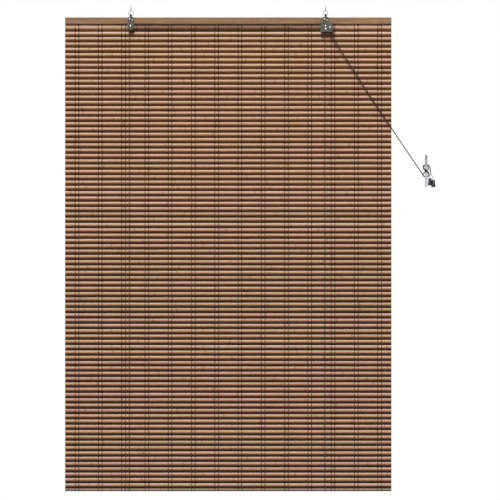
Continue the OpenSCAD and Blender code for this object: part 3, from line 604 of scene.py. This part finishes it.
def twineTree():
    tree, size = newTree("warpTwine", {
        "Slat count": "Int", "Slat pitch": "Float", "First slat extra": "Float", "Last slat extra": "Float",
        "Top": "Float", "Rail reach": "Float", "Front depth": "Float", "Back depth": "Float", "Pinch depth": "Float",
        "Twine width": "Float", "Middle": "Float", "Half gap": "Float", "Twine": "Material",
    })
    stepsPerSlat = float(twineSettings["stepsPerSlat"])
    line = addNode(tree, "GeometryNodeCurvePrimitiveLine")
    steps = addNode(tree, "ShaderNodeMath", {"operation": "MULTIPLY_ADD", 1: stepsPerSlat, 2: 1.0},
                    {0: size["Slat count"]})
    run = addNode(tree, "GeometryNodeResampleCurve", links={"Curve": line, "Count": steps})
    # how many slats down each point is, then how far down that is
    index = addNode(tree, "GeometryNodeInputIndex")
    slats = addNode(tree, "ShaderNodeMath", {"operation": "DIVIDE", 1: stepsPerSlat}, {0: index})
    inFirst = addNode(tree, "ShaderNodeMath", {"operation": "MINIMUM", 1: 1.0}, {0: slats})
    before = addNode(tree, "ShaderNodeMath", {"operation": "SUBTRACT", 1: 1.0}, {0: size["Slat count"]})
    past = addNode(tree, "ShaderNodeMath", {"operation": "SUBTRACT"}, {0: slats, 1: before})
    inLast = addNode(tree, "ShaderNodeMath", {"operation": "MAXIMUM", 1: 0.0}, {0: past})
    broad = addNode(tree, "ShaderNodeMath", {"operation": "MULTIPLY_ADD"},
                    {0: inFirst, 1: size["First slat extra"], 2: slats})
    narrow = addNode(tree, "ShaderNodeMath", {"operation": "MULTIPLY_ADD"},
                     {0: inLast, 1: size["Last slat extra"], 2: broad})
    drop = addNode(tree, "ShaderNodeMath", {"operation": "MULTIPLY"}, {0: narrow, 1: size["Slat pitch"]})
    level = addNode(tree, "ShaderNodeMath", {"operation": "SUBTRACT"}, {0: size["Top"], 1: drop})
    turn = addNode(tree, "ShaderNodeMath", {"operation": "MULTIPLY", 1: math.pi}, {0: slats})
    wave = addNode(tree, "ShaderNodeMath", {"operation": "SINE"}, {0: turn})
    high = addNode(tree, "ShaderNodeMath", {"operation": "ABSOLUTE"}, {0: wave})
    over = addNode(tree, "ShaderNodeMath", {"operation": "POWER", 1: 0.5}, {0: high})
    radius = addNode(tree, "ShaderNodeMath", {"operation": "MULTIPLY", 1: 0.5}, {0: size["Twine width"]})
    profile = addNode(tree, "GeometryNodeCurvePrimitiveCircle", {"Resolution": twineSettings["sides"]},
                      {"Radius": radius})
    join = addNode(tree, "GeometryNodeJoinGeometry")
    for face in ("Front depth", "Back depth"):
        depth = addNode(tree, "ShaderNodeMix", {"data_type": "FLOAT"}, {0: over, 2: size["Pinch depth"], 3: size[face]})
        spot = addNode(tree, "ShaderNodeCombineXYZ", links={1: depth, 2: level})
        strand = addNode(tree, "GeometryNodeSetPosition", links={"Geometry": run, "Position": spot})
        tube = addNode(tree, "GeometryNodeCurveToMesh", {"Fill Caps": True},
                       {"Curve": strand, "Profile Curve": profile})
        tree.links.new(tube.outputs[0], join.inputs[0])
    # the strand goes on up the rail's back to its staple
    pinched = addNode(tree, "ShaderNodeCombineXYZ", links={1: size["Pinch depth"], 2: size["Top"]})
    under = addNode(tree, "ShaderNodeMath", {"operation": "ADD", 1: 0.004}, {0: size["Top"]})
    behind = addNode(tree, "ShaderNodeCombineXYZ", links={1: size["Back depth"], 2: under})
    staple = addNode(tree, "ShaderNodeCombineXYZ", links={1: size["Back depth"], 2: size["Rail reach"]})
    for a, b in ((pinched, behind), (behind, staple)):
        rise = addNode(tree, "GeometryNodeCurvePrimitiveLine", links={"Start": a, "End": b})
        tube = addNode(tree, "GeometryNodeCurveToMesh", {"Fill Caps": True}, {"Curve": rise, "Profile Curve": profile})
        tree.links.new(tube.outputs[0], join.inputs[0])
    left = addNode(tree, "ShaderNodeMath", {"operation": "SUBTRACT"}, {0: size["Middle"], 1: size["Half gap"]})
    start = addNode(tree, "ShaderNodeCombineXYZ", links={0: left})
    width = addNode(tree, "ShaderNodeMath", {"operation": "MULTIPLY", 1: 2.0}, {0: size["Half gap"]})
    step = addNode(tree, "ShaderNodeCombineXYZ", links={0: width})
    two = addNode(tree, "GeometryNodeMeshLine", {"Count": 2}, {"Start Location": start, "Offset": step})
    pair = addNode(tree, "GeometryNodeInstanceOnPoints", links={"Points": two, "Instance": join})
    whole = addNode(tree, "GeometryNodeRealizeInstances", links={0: pair})
    smooth = addNode(tree, "GeometryNodeSetShadeSmooth", links={"Geometry": whole})
    done = addNode(tree, "GeometryNodeSetMaterial", links={"Geometry": smooth, "Material": size["Twine"]})
    addNode(tree, "NodeGroupOutput", links={0: done})
    return tree


twineNodes = twineTree()
twineMaterial = brownTwine()
twineFaces = 0
for i in range(twineSettings["pairs"]):
    mesh = runTree(f"twinePair{i + 1}", twineNodes, {
        "Slat count": slatSettings["count"], "Slat pitch": slatPitch, "First slat extra": firstExtra,
        "Last slat extra": lastExtra, "Top": slatTop, "Rail reach": twineSettings["railReach"] / 1000,
        "Front depth": twineSettings["frontDepth"] / 1000, "Back depth": twineSettings["backDepth"] / 1000,
        "Pinch depth": twineSettings["pinchDepth"] / 1000, "Twine width": twineSettings["width"] / 1000,
        "Middle": (twineSettings["firstX"] + i * twineSettings["pitch"]) / 1000,
        "Half gap": twineSettings["halfGap"] / 1000, "Twine": twineMaterial,
    })
    twineFaces += len(mesh.polygons)
    newPiece(f"twinePair{i + 1}", mesh, "blind", "twine", f"warp_twine_{i + 1}")
print("twines:", twineFaces, "faces")

# Head rail: the CAD solid with a stained wood finish


def railWood():
    # Pine batten, planed and stained: olive tan, with long soft grain and broad patches of stain
    material, tree = newMaterial("stainedPineBatten")
    coords = addNode(tree, "ShaderNodeTexCoord").outputs["Object"]
    # stain patches about 130 mm long, grain lines 2 mm apart and 160 mm long
    patches = addNode(tree, "ShaderNodeMapping", {"Scale": (7.5, 30, 40)}, {"Vector": coords})
    patchNoise = addNode(tree, "ShaderNodeTexNoise", {"Scale": 1.0, "Detail": 2.0}, {"Vector": patches})
    stain = addNode(tree, "ShaderNodeValToRGB", {"stops": ((0.3, "#82674b"), (0.5, "#90735b"), (0.7, "#997755"))},
                    {0: patchNoise.outputs["Fac"]})
    lines = addNode(tree, "ShaderNodeMapping", {"Scale": (6, 260, 500)}, {"Vector": coords})
    grain = addNode(tree, "ShaderNodeTexNoise", {"Scale": 1.0, "Detail": 4.0}, {"Vector": lines}).outputs["Fac"]
    streaks = addNode(tree, "ShaderNodeValToRGB", {"stops": ((0.32, "#c4b29c"), (0.6, "#ffffff"))}, {0: grain})
    colour = addNode(tree, "ShaderNodeMix", {"data_type": "RGBA", "blend_type": "MULTIPLY", 0: 0.8},
                     {6: stain, 7: streaks})
    bump = addNode(tree, "ShaderNodeBump", {"Strength": 0.2, "Distance": 0.0004}, {"Height": grain})
    rough = addNode(tree, "ShaderNodeMapRange", {"To Min": 0.42, "To Max": 0.62}, {"Value": grain})
    finishMaterial(tree, {"Specular IOR Level": 0.25},
                   {"Base Color": colour.outputs[2], "Roughness": rough, "Normal": bump})
    return material


def dress(material, *nodes):
    # gives CAD nodes that stay showing their finish
    for node in nodes:
        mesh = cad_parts[node].data
        mesh.materials.clear()
        mesh.materials.append(material)


dress(railWood(), "head_rail")
print("rail dressed")

# Metals

metalSettings = {
    # base colour, the darker tone in it, roughness, size of the mottling in mm
    "zincPlatedSteel": ("#595a53", "#3a3b34", 0.44, 2.6),
    "nickelPlatedSteel": ("#f4f3ef", "#dcdbd6", 0.16, 1.2),
    # the hook's ring: the same steel wire as its shank, painted near black as painted shade
    "paintedShadeHookWire": ("#2a2c2d", "#1c1d1e", 0.4, 1.5),
    "platedSteelWire": ("#b9bcbe", "#9a9d9f", 0.3, 1.5),
    "brightSteelWire": ("#a9abac", "#8c8e90", 0.25, 1.5),
    "galvanisedStapleWire": ("#c4c5bf", "#979a95", 0.42, 1.0),
    "chromedZincCasting": ("#9aa0a5", "#899095", 0.2, 6.0),
}


def platedMetal(name):
    # Plated metal: a cool sheen, mottled where the plating is thin, with fine scratches in the gloss
    material, tree = newMaterial(name)
    bright, dull, roughness, grain = metalSettings[name]
    coords = addNode(tree, "ShaderNodeTexCoord").outputs["Object"]
    mottle = addNode(tree, "ShaderNodeTexNoise", {"Scale": 1000 / grain, "Detail": 3.0}, {"Vector": coords})
    colour = addNode(tree, "ShaderNodeValToRGB", {"stops": ((0.36, dull), (0.62, bright))}, {0: mottle.outputs["Fac"]})
    # scratches 0.3 mm apart, coarser than real ones so that they show
    across = addNode(tree, "ShaderNodeMapping", {"Scale": (3300, 900, 420)}, {"Vector": coords})
    scratches = addNode(tree, "ShaderNodeTexNoise", {"Scale": 1.0, "Detail": 2.0}, {"Vector": across}).outputs["Fac"]
    rough = addNode(tree, "ShaderNodeMapRange", {"To Min": roughness * 0.8, "To Max": roughness * 1.25},
                    {"Value": scratches})
    bump = addNode(tree, "ShaderNodeBump", {"Strength": 0.06, "Distance": 0.0001}, {"Height": scratches})
    finishMaterial(tree, {"Metallic": 1.0}, {"Base Color": colour, "Roughness": rough, "Normal": bump})
    return material


metals = {name: platedMetal(name) for name in metalSettings}


def softEdged(name, node, width, segments, material):
    # copy of a CAD solid with its edges rounded over
    work = bmesh.new()
    work.from_mesh(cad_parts[node].data)
    bmesh.ops.remove_doubles(work, verts=work.verts, dist=1e-6)
    bmesh.ops.dissolve_limit(work, angle_limit=0.01, verts=work.verts, edges=work.edges)
    mesh = bpy.data.meshes.new(name)
    work.to_mesh(mesh)
    work.free()
    holder = bpy.data.objects.new(name, mesh)
    scene.collection.objects.link(holder)
    bevel = holder.modifiers.new("edges", "BEVEL")
    bevel.width = width / 1000
    bevel.segments = segments
    bevel.limit_method = "ANGLE"
    bevel.angle_limit = math.radians(40)
    mesh.polygons.foreach_set("use_smooth", [True] * len(mesh.polygons))
    mesh.set_sharp_from_angle(angle=math.radians(75))
    even = holder.modifiers.new("evenShade", "WEIGHTED_NORMAL")
    even.keep_sharp = True
    graph = bpy.context.evaluated_depsgraph_get()
    soft = bpy.data.meshes.new_from_object(holder.evaluated_get(graph), depsgraph=graph)
    bpy.data.objects.remove(holder)
    soft.materials.clear()
    soft.materials.append(material)
    soft.name = name
    return soft


# Brackets and pulley cheeks: punched plates with rounded edges

plateSettings = {
    "edge": 0.28,  # how far the edges are rounded over, mm
    "segments": 2,
}
for kind in ("bracket", "cheek"):
    for side in ("left", "right"):
        name, node = side + kind.title(), f"{side}_{kind}"
        mesh = softEdged(name, node, plateSettings["edge"], plateSettings["segments"], metals["zincPlatedSteel"])
        newPiece(name, mesh, "blind", "zinc_plate", node)
print("plates done")
dress(metals["nickelPlatedSteel"], "left_axle", "right_upper_axle", "right_lower_axle", "lock_roller",
      "left_sheave", "right_upper_sheave", "right_lower_sheave")
dress(metals["galvanisedStapleWire"], "twine_staples", "cord_staples")

# Wall cleat: one casting with rounded horns

cleatSettings = {"edge": 1.05, "segments": 4}
cleatMesh = softEdged("wallCleat", "wall_cleat", cleatSettings["edge"], cleatSettings["segments"],
                      metals["chromedZincCasting"])
newPiece("wallCleat", cleatMesh, "blind", "cleat_metal", "wall_cleat")
print("cleat done:", len(cleatMesh.polygons), "faces")

# Hanger bushes and cord knobs


def mouldedPlastic(name, dark, light, roughness, grain, gloss):
    # Moulded plastic: near black, a soft skin texture, and a gloss that takes clear highlights
    material, tree = newMaterial(name)
    coords = addNode(tree, "ShaderNodeTexCoord").outputs["Object"]
    noise = addNode(tree, "ShaderNodeTexNoise", {"Scale": 1000 / grain, "Detail": 3.0}, {"Vector": coords})
    skin = noise.outputs["Fac"]
    colour = addNode(tree, "ShaderNodeValToRGB", {"stops": ((0, dark), (1, light))}, {0: skin})
    rough = addNode(tree, "ShaderNodeMapRange", {"To Min": roughness * 0.8, "To Max": roughness * 1.2}, {"Value": skin})
    bump = addNode(tree, "ShaderNodeBump", {"Strength": 0.05, "Distance": 0.0002}, {"Height": skin})
    finishMaterial(tree, {"Specular IOR Level": 0.3, "Coat Weight": gloss, "Coat IOR": 1.9, "Coat Roughness": 0.1},
                   {"Base Color": colour, "Roughness": rough, "Normal": bump})
    return material


bushPlastic = mouldedPlastic("mouldedBlackNylon", "#08080a", "#141416", 0.4, 0.8, 0.0)
dress(bushPlastic, "left_hanger_bush", "right_hanger_bush")

knobSettings = {
    # radius and distance down from the knob's top, mm, from the cord's bore round to its recess
    "profile": ((1.15, 0), (3.4, 0), (4.5, 0.3), (5.15, 0.95), (5.42, 2.0), (5.6, 6), (5.95, 11), (6.45, 16),
                (6.95, 19.8), (7.25, 21.2), (7.4, 22.2), (7.33, 23.1), (7.0, 24.0), (6.4, 24.7), (5.6, 25), (3.9, 25),
                (3.45, 24.8), (3.2, 24.3), (3.2, 19.2), (2.9, 18.6), (1.15, 18.5)),
    "leftTop": (691, -1.85, -581),
    "rightTop": (680, 9.15, -575),
    "sides": 40,
}


def latheMesh(name, profile, top, sides, material):
    # closed ring of the profile turned about the vertical line through top
    places, faces, count = [], [], len(profile)
    for k in range(sides):
        a = 2 * math.pi * k / sides
        places += [((top[0] + r * math.cos(a)) / 1000, (top[1] + r * math.sin(a)) / 1000, (top[2] - d) / 1000)
                   for r, d in profile]
        faces += bandFaces(k * count, (k + 1) % sides * count, count)
    mesh = bpy.data.meshes.new(name)
    mesh.from_pydata(places, [], faces)
    faceOutward(mesh)
    mesh.polygons.foreach_set("use_smooth", [True] * len(faces))
    mesh.set_sharp_from_angle(angle=math.radians(50))
    mesh.materials.append(material)
    return mesh


knobPlastic = mouldedPlastic("mouldedDarkBrownPlastic", "#0d0908", "#191110", 0.26, 3.0, 0.3)
for side in ("left", "right"):
    mesh = latheMesh(side + "Knob", knobSettings["profile"], knobSettings[side + "Top"], knobSettings["sides"],
                     knobPlastic)
    newPiece(side + "Knob", mesh, "blind", "knob", side + "_cord_knob")
print("knobs done")

# Knots: each cord's end is tied in its knob's recess

knotSettings = {
    "radius": 2.6,
    "strandDepth": 0.34,  # how deep the folds between the strands are
    "strands": 3,
    "sides": 36,
    "rows": 20,
    "mapLength": 0.016,  # metres of cord that the finish takes the ball's girth for
}


def knotMesh(name, middle):
    # a ball of slanting strands, drawn tight, with the map that the cord's finish reads
    sides, rows = knotSettings["sides"], knotSettings["rows"]
    places, faces, spots = [], [], []
    for i in range(rows + 1):
        tilt = math.pi * i / rows
        for k in range(sides):
            turn = 2 * math.pi * k / sides
            fold = abs(math.sin(knotSettings["strands"] * (turn + 1.2 * tilt) / 2)) ** 0.6
            r = knotSettings["radius"] - knotSettings["strandDepth"] * (1 - fold) * math.sin(tilt)
            around = Vector((math.sin(tilt) * math.cos(turn), math.sin(tilt) * math.sin(turn), math.cos(tilt)))
            places.append((middle + r * around) / 1000)
    for i in range(rows):
        for k in range(sides):
            low, high, following = i * sides, (i + 1) * sides, (k + 1) % sides
            faces.append((low + k, high + k, high + following, low + following))
            left, right = (n / sides * knotSettings["mapLength"] for n in (k, k + 1))
            spots += [(left, i / rows), (left, (i + 1) / rows), (right, (i + 1) / rows), (right, i / rows)]
    mesh = bpy.data.meshes.new(name)
    mesh.from_pydata(places, [], faces)
    layer = mesh.uv_layers.new(name="run")
    for loop, spot in zip(layer.data, spots):
        loop.uv = spot
    faceOutward(mesh, weld=1e-7)
    mesh.polygons.foreach_set("use_smooth", [True] * len(mesh.polygons))
    mesh.materials.append(cordMaterial)
    return mesh


for side, run in cordRuns.items():
    knot = newPiece(side + "Knot", knotMesh(side + "Knot", run[-1]), "blind", "cord")

# Hooks and hangers

hookSettings = {
    "reach": 328,  # either side of the middle
    "ringZ": -6.2,
    "ringR": 5.1,
    "wire": 2.2,
    "shankTop": 12,
    "shankR": 1.3,
    "threadDepth": 0.28,
    "threadPitch": 1.5,
    "pointLength": 3.4,
    "wireSides": 14,
    "shankRows": 96,
    "shankSides": 20,
}
hangerSettings = {
    "wire": 2.0,
    "corners": ((-0.5, -25.6), (-6.3, -25.6), (-8.6, -20.16), (0, -5.743), (8.6, -20.16), (6.3, -25.6), (0.5, -25.6)),
    "bends": (1.6, 1.6, 3, 1.6, 1.6),
}


def joinMeshes(name, meshes, *materials):
    work = bmesh.new()
    for mesh in meshes:
        work.from_mesh(mesh)
    whole = bpy.data.meshes.new(name)
    work.to_mesh(whole)
    work.free()
    for material in materials:
        whole.materials.append(material)
    return whole


def roundTip(points, radius, steps):
    # adds a half ball to the end of a wire: points and the wire's radius at each of them
    ahead = (points[-1] - points[-2]).normalized()
    turns = [math.pi / 2 * i / steps for i in range(1, steps + 1)]
    tip = [points[-1] + ahead * radius * math.sin(a) for a in turns]
    return points + tip, [radius] * len(points) + [max(radius * math.cos(a), 0.02) for a in turns]


def bentWire(corners, bends):
    # straight runs joined by round bends, in the plane of the rail
    out = [Vector((corners[0][0], 0, corners[0][1]))]
    for i, bend in enumerate(bends, 1):
        before, at, after = (Vector((corners[k][0], 0, corners[k][1])) for k in (i - 1, i, i + 1))
        back, on = (before - at).normalized(), (after - at).normalized()
        half = back.angle(on) / 2
        cut = bend / math.tan(half)
        middle = at + (back + on).normalized() * (bend / math.sin(half))
        first, last = at + back * cut - middle, at + on * cut - middle
        for k in range(11):
            out.append(middle + first.lerp(last, k / 10).normalized() * bend)
    out.append(Vector((corners[-1][0], 0, corners[-1][1])))
    return out


def hookMesh(name, x, ringShadeMetal, shankMetal):
    # the wire from its round tip at the front, under and behind, up into the neck
    wire = hookSettings["wire"] / 2
    ringR, ringZ = hookSettings["ringR"], hookSettings["ringZ"]
    turns = [math.radians(a) for a in range(180, 436, 15)]
    ring = [Vector((x, ringR * math.cos(a), ringZ + ringR * math.sin(a))) for a in turns]
    neck = [Vector((x, 0.15, -0.75)), Vector((x, 0, 0.4))]
    path = smoothRun(ring[::-1], 0.7)
    path, radii = roundTip(path, wire, 5)
    path = smoothRun(neck[::-1] + [path[0]], 0.5)[:-1] + path
    radii = [wire] * (len(path) - len(radii)) + radii
    # the shank: a screw thread that runs out to a point
    rows, sides = hookSettings["shankRows"], hookSettings["shankSides"]
    places, faces = [], []
    for i in range(rows + 1):
        z = hookSettings["shankTop"] * i / rows
        taper = min(1, max(0.06, (hookSettings["shankTop"] - z) / hookSettings["pointLength"])) ** 0.7
        start = min(1, z / 1.2)
        for k in range(sides):
            phase = (z / hookSettings["threadPitch"] - k / sides) % 1
            ridge = max(0, 1 - abs(phase - 0.5) / 0.3)
            r = hookSettings["shankR"] - hookSettings["threadDepth"] * start * (1 - ridge)
            a = 2 * math.pi * k / sides
            places.append(((x + r * taper * math.cos(a)) / 1000, r * taper * math.sin(a) / 1000, z / 1000))
    for i in range(rows):
        faces += bandFaces(i * sides, (i + 1) * sides, sides)
    faces += [tuple(reversed(range(sides))), tuple(range(rows * sides, (rows + 1) * sides))]
    shank = bpy.data.meshes.new(name + "Shank")
    shank.from_pydata(places, [], faces)
    shank.polygons.foreach_set("use_smooth", [True] * (len(faces) - 2) + [False] * 2)
    shank.polygons.foreach_set("material_index", [1] * len(faces))
    # the ring takes the near black wire, as painted shade
    wireMesh = tubeMesh(name + "Wire", path, radii, hookSettings["wireSides"], ringShadeMetal)
    return joinMeshes(name, (wireMesh, shank), ringShadeMetal, shankMetal)


for side, x in (("left", -hookSettings["reach"]), ("right", hookSettings["reach"])):
    mesh = hookMesh(side + "Hook", x, metals["paintedShadeHookWire"], metals["platedSteelWire"])
    newPiece(side + "Hook", mesh, "blind", "hook_steel", side + "_ceiling_hook")
    path = [point + Vector((x, 0, 0)) for point in bentWire(hangerSettings["corners"], hangerSettings["bends"])]
    radii = [hangerSettings["wire"] / 2] * len(path)
    mesh = tubeMesh(side + "Hanger", path, radii, hookSettings["wireSides"], metals["brightSteelWire"])
    newPiece(side + "Hanger", mesh, side + "_hanger", "hook_steel", side + "_hanger")
print("hooks and hangers done")

# Bracket screws: domed heads with a cross recess, two on each bracket

screwSettings = {
    "spots": ((-4.8, -5.7), (4.8, -9.3)),  # from the hook's line and the rail's top
    "headR": 2.6,
    "headHeight": 1.6,
    "recessR": 1.45,
    "recessHalfWidth": 0.36,
    "recessDepth": 0.9,
    "shankR": 1.2,
    "shankLength": 7,
    "turns": (18, 63),  # degrees, as driven
    "rings": 14,
    "sides": 48,
}


def screwHead(name):
    # a dome facing the front with its cross sunk in, and the plain shank behind
    rings, sides = screwSettings["rings"], screwSettings["sides"]
    places, faces = [(0, -(screwSettings["headHeight"] - screwSettings["recessDepth"]) / 1000, 0)], []
    for i in range(1, rings + 1):
        r = screwSettings["headR"] * i / rings
        for k in range(sides):
            a = 2 * math.pi * k / sides
            u, w = r * math.cos(a), r * math.sin(a)
            dome = screwSettings["headHeight"] * (1 - (r / screwSettings["headR"]) ** 2.6)
            slot = min(abs(u), abs(w)) < screwSettings["recessHalfWidth"] and r < screwSettings["recessR"]
            places.append((u / 1000, -(dome - (screwSettings["recessDepth"] if slot else 0)) / 1000, w / 1000))
    faces += [(0, 1 + (k + 1) % sides, 1 + k) for k in range(sides)]
    for i in range(rings - 1):
        faces += bandFaces(1 + i * sides, 1 + (i + 1) * sides, sides)
    last = 1 + (rings - 1) * sides
    r = screwSettings["shankR"]
    for depth in (0, screwSettings["shankLength"]):
        for k in range(sides):
            a = 2 * math.pi * k / sides
            places.append((r * math.cos(a) / 1000, depth / 1000, r * math.sin(a) / 1000))
    for low in (last, last + sides):
        faces += bandFaces(low, low + sides, sides)
    faces.append(tuple(range(last + 2 * sides, last + 3 * sides)))
    mesh = bpy.data.meshes.new(name)
    mesh.from_pydata(places, [], faces)
    faceOutward(mesh)
    mesh.polygons.foreach_set("use_smooth", [True] * len(faces))
    mesh.set_sharp_from_angle(angle=math.radians(38))
    return mesh


def screwTree():
    tree, size = newTree("screwPair", {
        "Screw": "Object", "First": "Vector", "Second": "Vector", "First turn": "Float", "Second turn": "Float",
        "Steel": "Material",
    })
    screw = addNode(tree, "GeometryNodeObjectInfo", links={"Object": size["Screw"]})
    join = addNode(tree, "GeometryNodeJoinGeometry")
    for which in ("First", "Second"):
        spot = addNode(tree, "GeometryNodePoints", links={"Position": size[which]})
        turn = addNode(tree, "ShaderNodeCombineXYZ", links={1: size[which + " turn"]})
        driven = addNode(tree, "GeometryNodeInstanceOnPoints", links={
            "Points": spot, "Instance": screw.outputs["Geometry"], "Rotation": turn})
        tree.links.new(driven.outputs[0], join.inputs[0])
    whole = addNode(tree, "GeometryNodeRealizeInstances", links={0: join})
    done = addNode(tree, "GeometryNodeSetMaterial", links={"Geometry": whole, "Material": size["Steel"]})
    addNode(tree, "NodeGroupOutput", links={0: done})
    return tree


screwNodes = screwTree()
screwPattern = bpy.data.objects.new("screwPattern", screwHead("screwPattern"))
for side, x in (("left", -hookSettings["reach"]), ("right", hookSettings["reach"])):
    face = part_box(side + "_bracket_screws")[0].y + screwSettings["headHeight"] / 1000
    spots = [((x + u) / 1000, face, (railTop + w) / 1000) for u, w in screwSettings["spots"]]
    turns = [math.radians(turn) for turn in screwSettings["turns"]]
    mesh = runTree(side + "BracketScrews", screwNodes, {
        "Screw": screwPattern, "First": spots[0], "Second": spots[1], "First turn": turns[0], "Second turn": turns[1],
        "Steel": metals["nickelPlatedSteel"],
    })
    newPiece(side + "BracketScrews", mesh, "blind", "bright_steel", side + "_bracket_screws")
bpy.data.objects.remove(screwPattern)
print("screws done")

# Floor, light and the white room round the blind

lightSettings = {
    "sunWay": (0.16, 0.56, -0.8),  # which way the main light falls
    "sunStrength": 4.75,
    "sunAngle": 22,  # degrees, for soft shadow edges
    "backWay": (-0.25, -0.78, -0.57),  # a weaker light from behind, for the blind's back
    "backStrength": 2.8,
    "backAngle": 40,
    "roomLight": 0.13,
    # what shiny pieces mirror: a large soft light ahead and above, grey walls and a darker floor
    "softboxWay": (0, -0.82, 0.57),
    "softboxGloss": 1.3,
    "softboxEdge": (0.4, 0.78),  # from its rim to its full strength
    "floorGloss": 0.25,
    "ceilingGloss": 1.15,
    "sideGloss": 0.12,
    "wallGloss": 0.5,
    "rearGloss": 0.53,
    "floorDepth": -1.95,  # m
    "floorR": 2.1,
    "floorSides": 64,
}


def paleFloor():
    # Painted screed: off white and matt, with faint clouds 33 mm across
    material, tree = newMaterial("palePaintedFloor")
    coords = addNode(tree, "ShaderNodeTexCoord").outputs["Object"]
    noise = addNode(tree, "ShaderNodeTexNoise", {"Scale": 30.0}, {"Vector": coords}).outputs["Fac"]
    colour = addNode(tree, "ShaderNodeValToRGB", {"stops": ((0, "#e9e9e7"), (1, "#f1f1ef"))}, {0: noise})
    finishMaterial(tree, {"Roughness": 0.8}, {"Base Color": colour})
    return material


floorMesh = bpy.data.meshes.new("floor")
rim = [2 * math.pi * k / lightSettings["floorSides"] for k in range(lightSettings["floorSides"])]
floorR = lightSettings["floorR"]
floorMesh.from_pydata([(floorR * math.cos(a), floorR * math.sin(a), lightSettings["floorDepth"]) for a in rim],
                      [], [tuple(range(len(rim)))])
floorMesh.materials.append(paleFloor())
floor = bpy.data.objects.new("floor", floorMesh)
scene.collection.objects.link(floor)

for name, key in (("mainLight", "sun"), ("backLight", "back")):
    lamp = bpy.data.lights.new(name, "SUN")
    lamp.energy = lightSettings[key + "Strength"]
    lamp.angle = math.radians(lightSettings[key + "Angle"])
    light = bpy.data.objects.new(name, lamp)
    light.rotation_euler = Vector(lightSettings[key + "Way"]).to_track_quat("-Z", "Y").to_euler()
    scene.collection.objects.link(light)

world = bpy.data.worlds.new("whiteRoom")
scene.world = world
world.use_nodes = True
room = world.node_tree
room.nodes.clear()
rays = addNode(room, "ShaderNodeLightPath")
way = addNode(room, "ShaderNodeTexCoord").outputs["Generated"]
split = addNode(room, "ShaderNodeSeparateXYZ", links={0: way})
toward = addNode(room, "ShaderNodeVectorMath", {"operation": "DOT_PRODUCT", 1: lightSettings["softboxWay"]}, {0: way})
sideways = addNode(room, "ShaderNodeMath", {"operation": "ABSOLUTE"}, {0: split})
# the softbox, fainter low down and far out to the sides, and the walls, brightest straight behind
zones = {}
for zone, source, edge, gloss in (
        ("softbox", toward.outputs["Value"], lightSettings["softboxEdge"], (0.0, lightSettings["softboxGloss"])),
        ("height", split.outputs[2], (-0.4, 0.3), (lightSettings["floorGloss"], lightSettings["ceilingGloss"])),
        ("sides", sideways, (0.4, 0.75), (1.0, lightSettings["sideGloss"])),
        ("rear", split.outputs[1], (0.8, 0.96), (lightSettings["wallGloss"], lightSettings["rearGloss"]))):
    zones[zone] = addNode(room, "ShaderNodeMapRange", {
        "interpolation_type": "SMOOTHSTEP", "From Min": edge[0], "From Max": edge[1],
        "To Min": gloss[0], "To Max": gloss[1]}, {"Value": source})
ahead = addNode(room, "ShaderNodeMath", {"operation": "MULTIPLY"}, {0: zones["softbox"], 1: zones["height"]})
gloss = addNode(room, "ShaderNodeMath", {"operation": "MULTIPLY_ADD"}, {0: ahead, 1: zones["sides"], 2: zones["rear"]})
mirrored = addNode(room, "ShaderNodeBackground", {"Color": (1, 1, 1, 1)}, {"Strength": gloss})
soft = addNode(room, "ShaderNodeBackground", {"Color": (1, 1, 1, 1), "Strength": lightSettings["roomLight"]})
white = addNode(room, "ShaderNodeBackground", {"Color": (1, 1, 1, 1), "Strength": 1.0})
lit = addNode(room, "ShaderNodeMixShader", links={0: rays.outputs["Is Glossy Ray"], 1: soft, 2: mirrored})
seen = addNode(room, "ShaderNodeMixShader", links={0: rays.outputs["Is Camera Ray"], 1: lit, 2: white})
addNode(room, "ShaderNodeOutputWorld", links={0: seen})
scene.view_settings.view_transform = "Standard"
print("floor, lights and room done")
